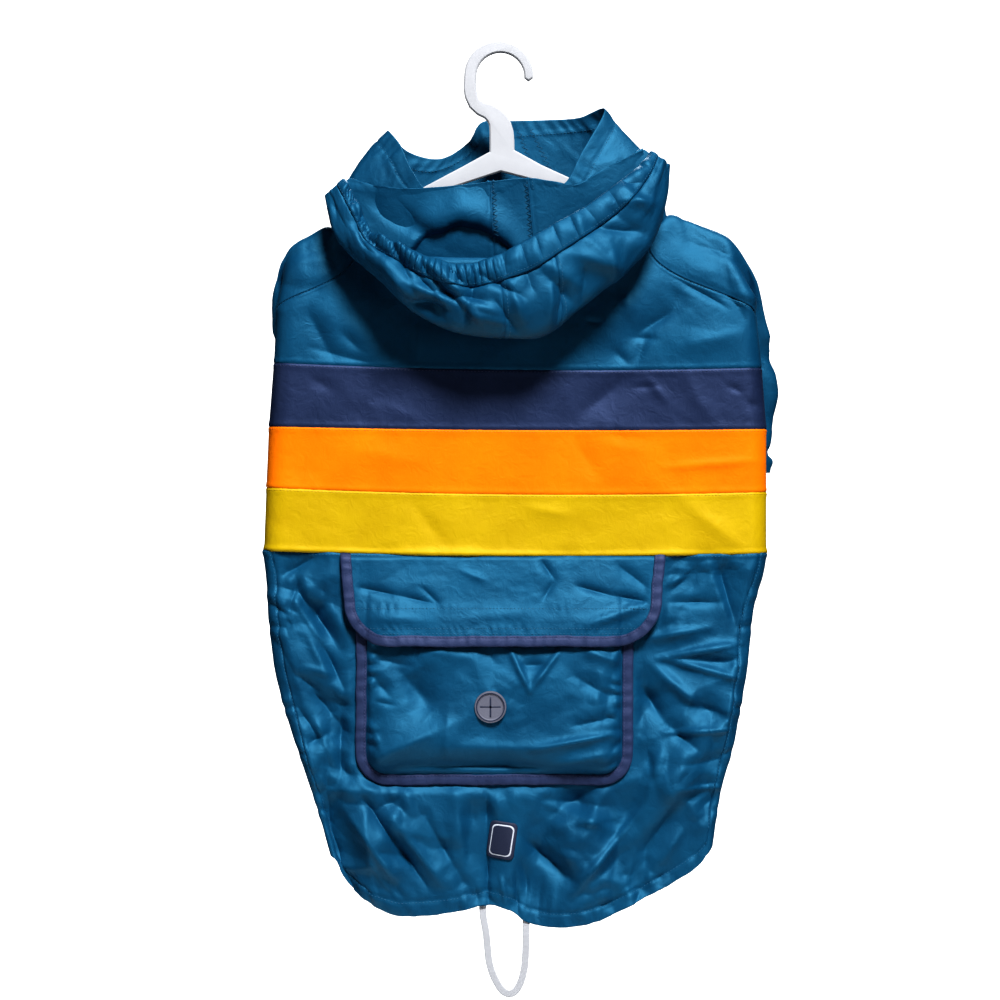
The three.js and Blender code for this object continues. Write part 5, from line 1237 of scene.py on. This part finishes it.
# ---- the stitches -------------------------------------------------------------------------------
# Lock stitches of spun polyester thread along the seams, hems and casings, in the colour of the
# cloth, and the overlocking inside the hood and the collar. Each lies half sunk in the cloth.
def stitching_tree():
    tree = bpy.data.node_groups.new("stitching", "GeometryNodeTree")
    sockets = {"Seam Lines": "Geometry", "Pitch": "Float", "Length": "Float", "Thickness": "Float",
               "Unevenness": "Float", "Seed": "Int", "Thread": "Material"}
    for label, kind in sockets.items():
        tree.interface.new_socket(label, in_out="INPUT", socket_type="NodeSocket" + kind)
    tree.interface.new_socket("Stitches", in_out="OUTPUT", socket_type="NodeSocketGeometry")
    given = add_node(tree, "NodeGroupInput", {}).outputs
    curve = add_node(tree, "GeometryNodeMeshToCurve", {"Mesh": given["Seam Lines"]})
    spacing = add_node(tree, "GeometryNodeResampleCurve",
                       {"Curve": curve.outputs["Curve"], "Length": given["Pitch"]}, mode="LENGTH")
    tangent = add_node(tree, "GeometryNodeInputTangent", {}).outputs["Tangent"]
    turn = add_node(tree, "FunctionNodeAlignRotationToVector", {"Vector": tangent}, axis="X")
    grain = add_node(tree, "GeometryNodeMeshIcoSphere", {"Radius": 0.5, "Subdivisions": 1})
    shape = add_node(tree, "ShaderNodeCombineXYZ",
                     {"X": given["Length"], "Y": given["Thickness"], "Z": given["Thickness"]})
    least = add_node(tree, "ShaderNodeMath", {0: 1, 1: given["Unevenness"]}, operation="SUBTRACT")
    # the random value's inputs and outputs share their labels, so its own are taken by their place
    chance = add_node(tree, "FunctionNodeRandomValue",
                      {2: least.outputs["Value"], "Seed": given["Seed"]}, data_type="FLOAT")
    size = add_node(tree, "ShaderNodeVectorMath",
                    {"Vector": shape.outputs["Vector"], "Scale": chance.outputs[1]}, operation="SCALE")
    row = add_node(tree, "GeometryNodeInstanceOnPoints", {
        "Points": spacing.outputs["Curve"], "Instance": grain.outputs["Mesh"],
        "Rotation": turn.outputs["Rotation"], "Scale": size.outputs["Vector"],
    })
    real = add_node(tree, "GeometryNodeRealizeInstances", {"Geometry": row.outputs["Instances"]})
    finish = add_node(tree, "GeometryNodeSetMaterial",
                      {"Geometry": real.outputs["Geometry"], "Material": given["Thread"]})
    add_node(tree, "NodeGroupOutput", {"Stitches": finish.outputs["Geometry"]})
    return tree

def spun_thread(name, dark, light):
    return grained(name, 1500, dark, light, 0.5, (0.4, 0.0001))

SEWING = stitching_tree()

def sew_all(name, dark, light, seed, pitch=0.0028, length=0.0023, thickness=0.00065):
    points, edges, first = [], [], 0
    for line in THREADS[name]:
        points += [tuple(p) for p in line * 0.001]
        edges += [(first + k, first + k + 1) for k in range(len(line) - 1)]
        first += len(line)
    mesh = bpy.data.meshes.new(name + "_lines")
    mesh.from_pydata(points, edges, [])
    lines = bpy.data.objects.new(name + "_lines", mesh)
    bpy.context.scene.collection.objects.link(lines)
    sewing = lines.modifiers.new("stitching", "NODES")
    sewing.node_group = SEWING
    values = {"Pitch": pitch, "Length": length, "Thickness": thickness, "Unevenness": 0.25, "Seed": seed,
              "Thread": spun_thread(name, dark, light)}
    for socket in SEWING.interface.items_tree:
        if socket.name in values:
            sewing[socket.identifier] = values[socket.name]
    final = bpy.data.meshes.new_from_object(lines.evaluated_get(bpy.context.evaluated_depsgraph_get()))
    bpy.data.objects.remove(lines)
    stitches = bpy.data.objects.new(name + "_stitches", final)
    bpy.context.scene.collection.objects.link(stitches)
    final.shade_smooth()
    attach(stitches, "root")

sew_all("teal_thread", (0.010, 0.085, 0.165), (0.020, 0.14, 0.25), 1)
sew_all("navy_thread", (0.035, 0.045, 0.11), (0.06, 0.075, 0.16), 2)
sew_all("orange_thread", (0.75, 0.17, 0.002), (0.90, 0.25, 0.004), 3)
sew_all("yellow_thread", (0.48, 0.31, 0.002), (0.60, 0.41, 0.004), 4)
sew_all("overlock_thread", (0.008, 0.07, 0.14), (0.016, 0.12, 0.22), 5, 0.0012, 0.0017, 0.0006)
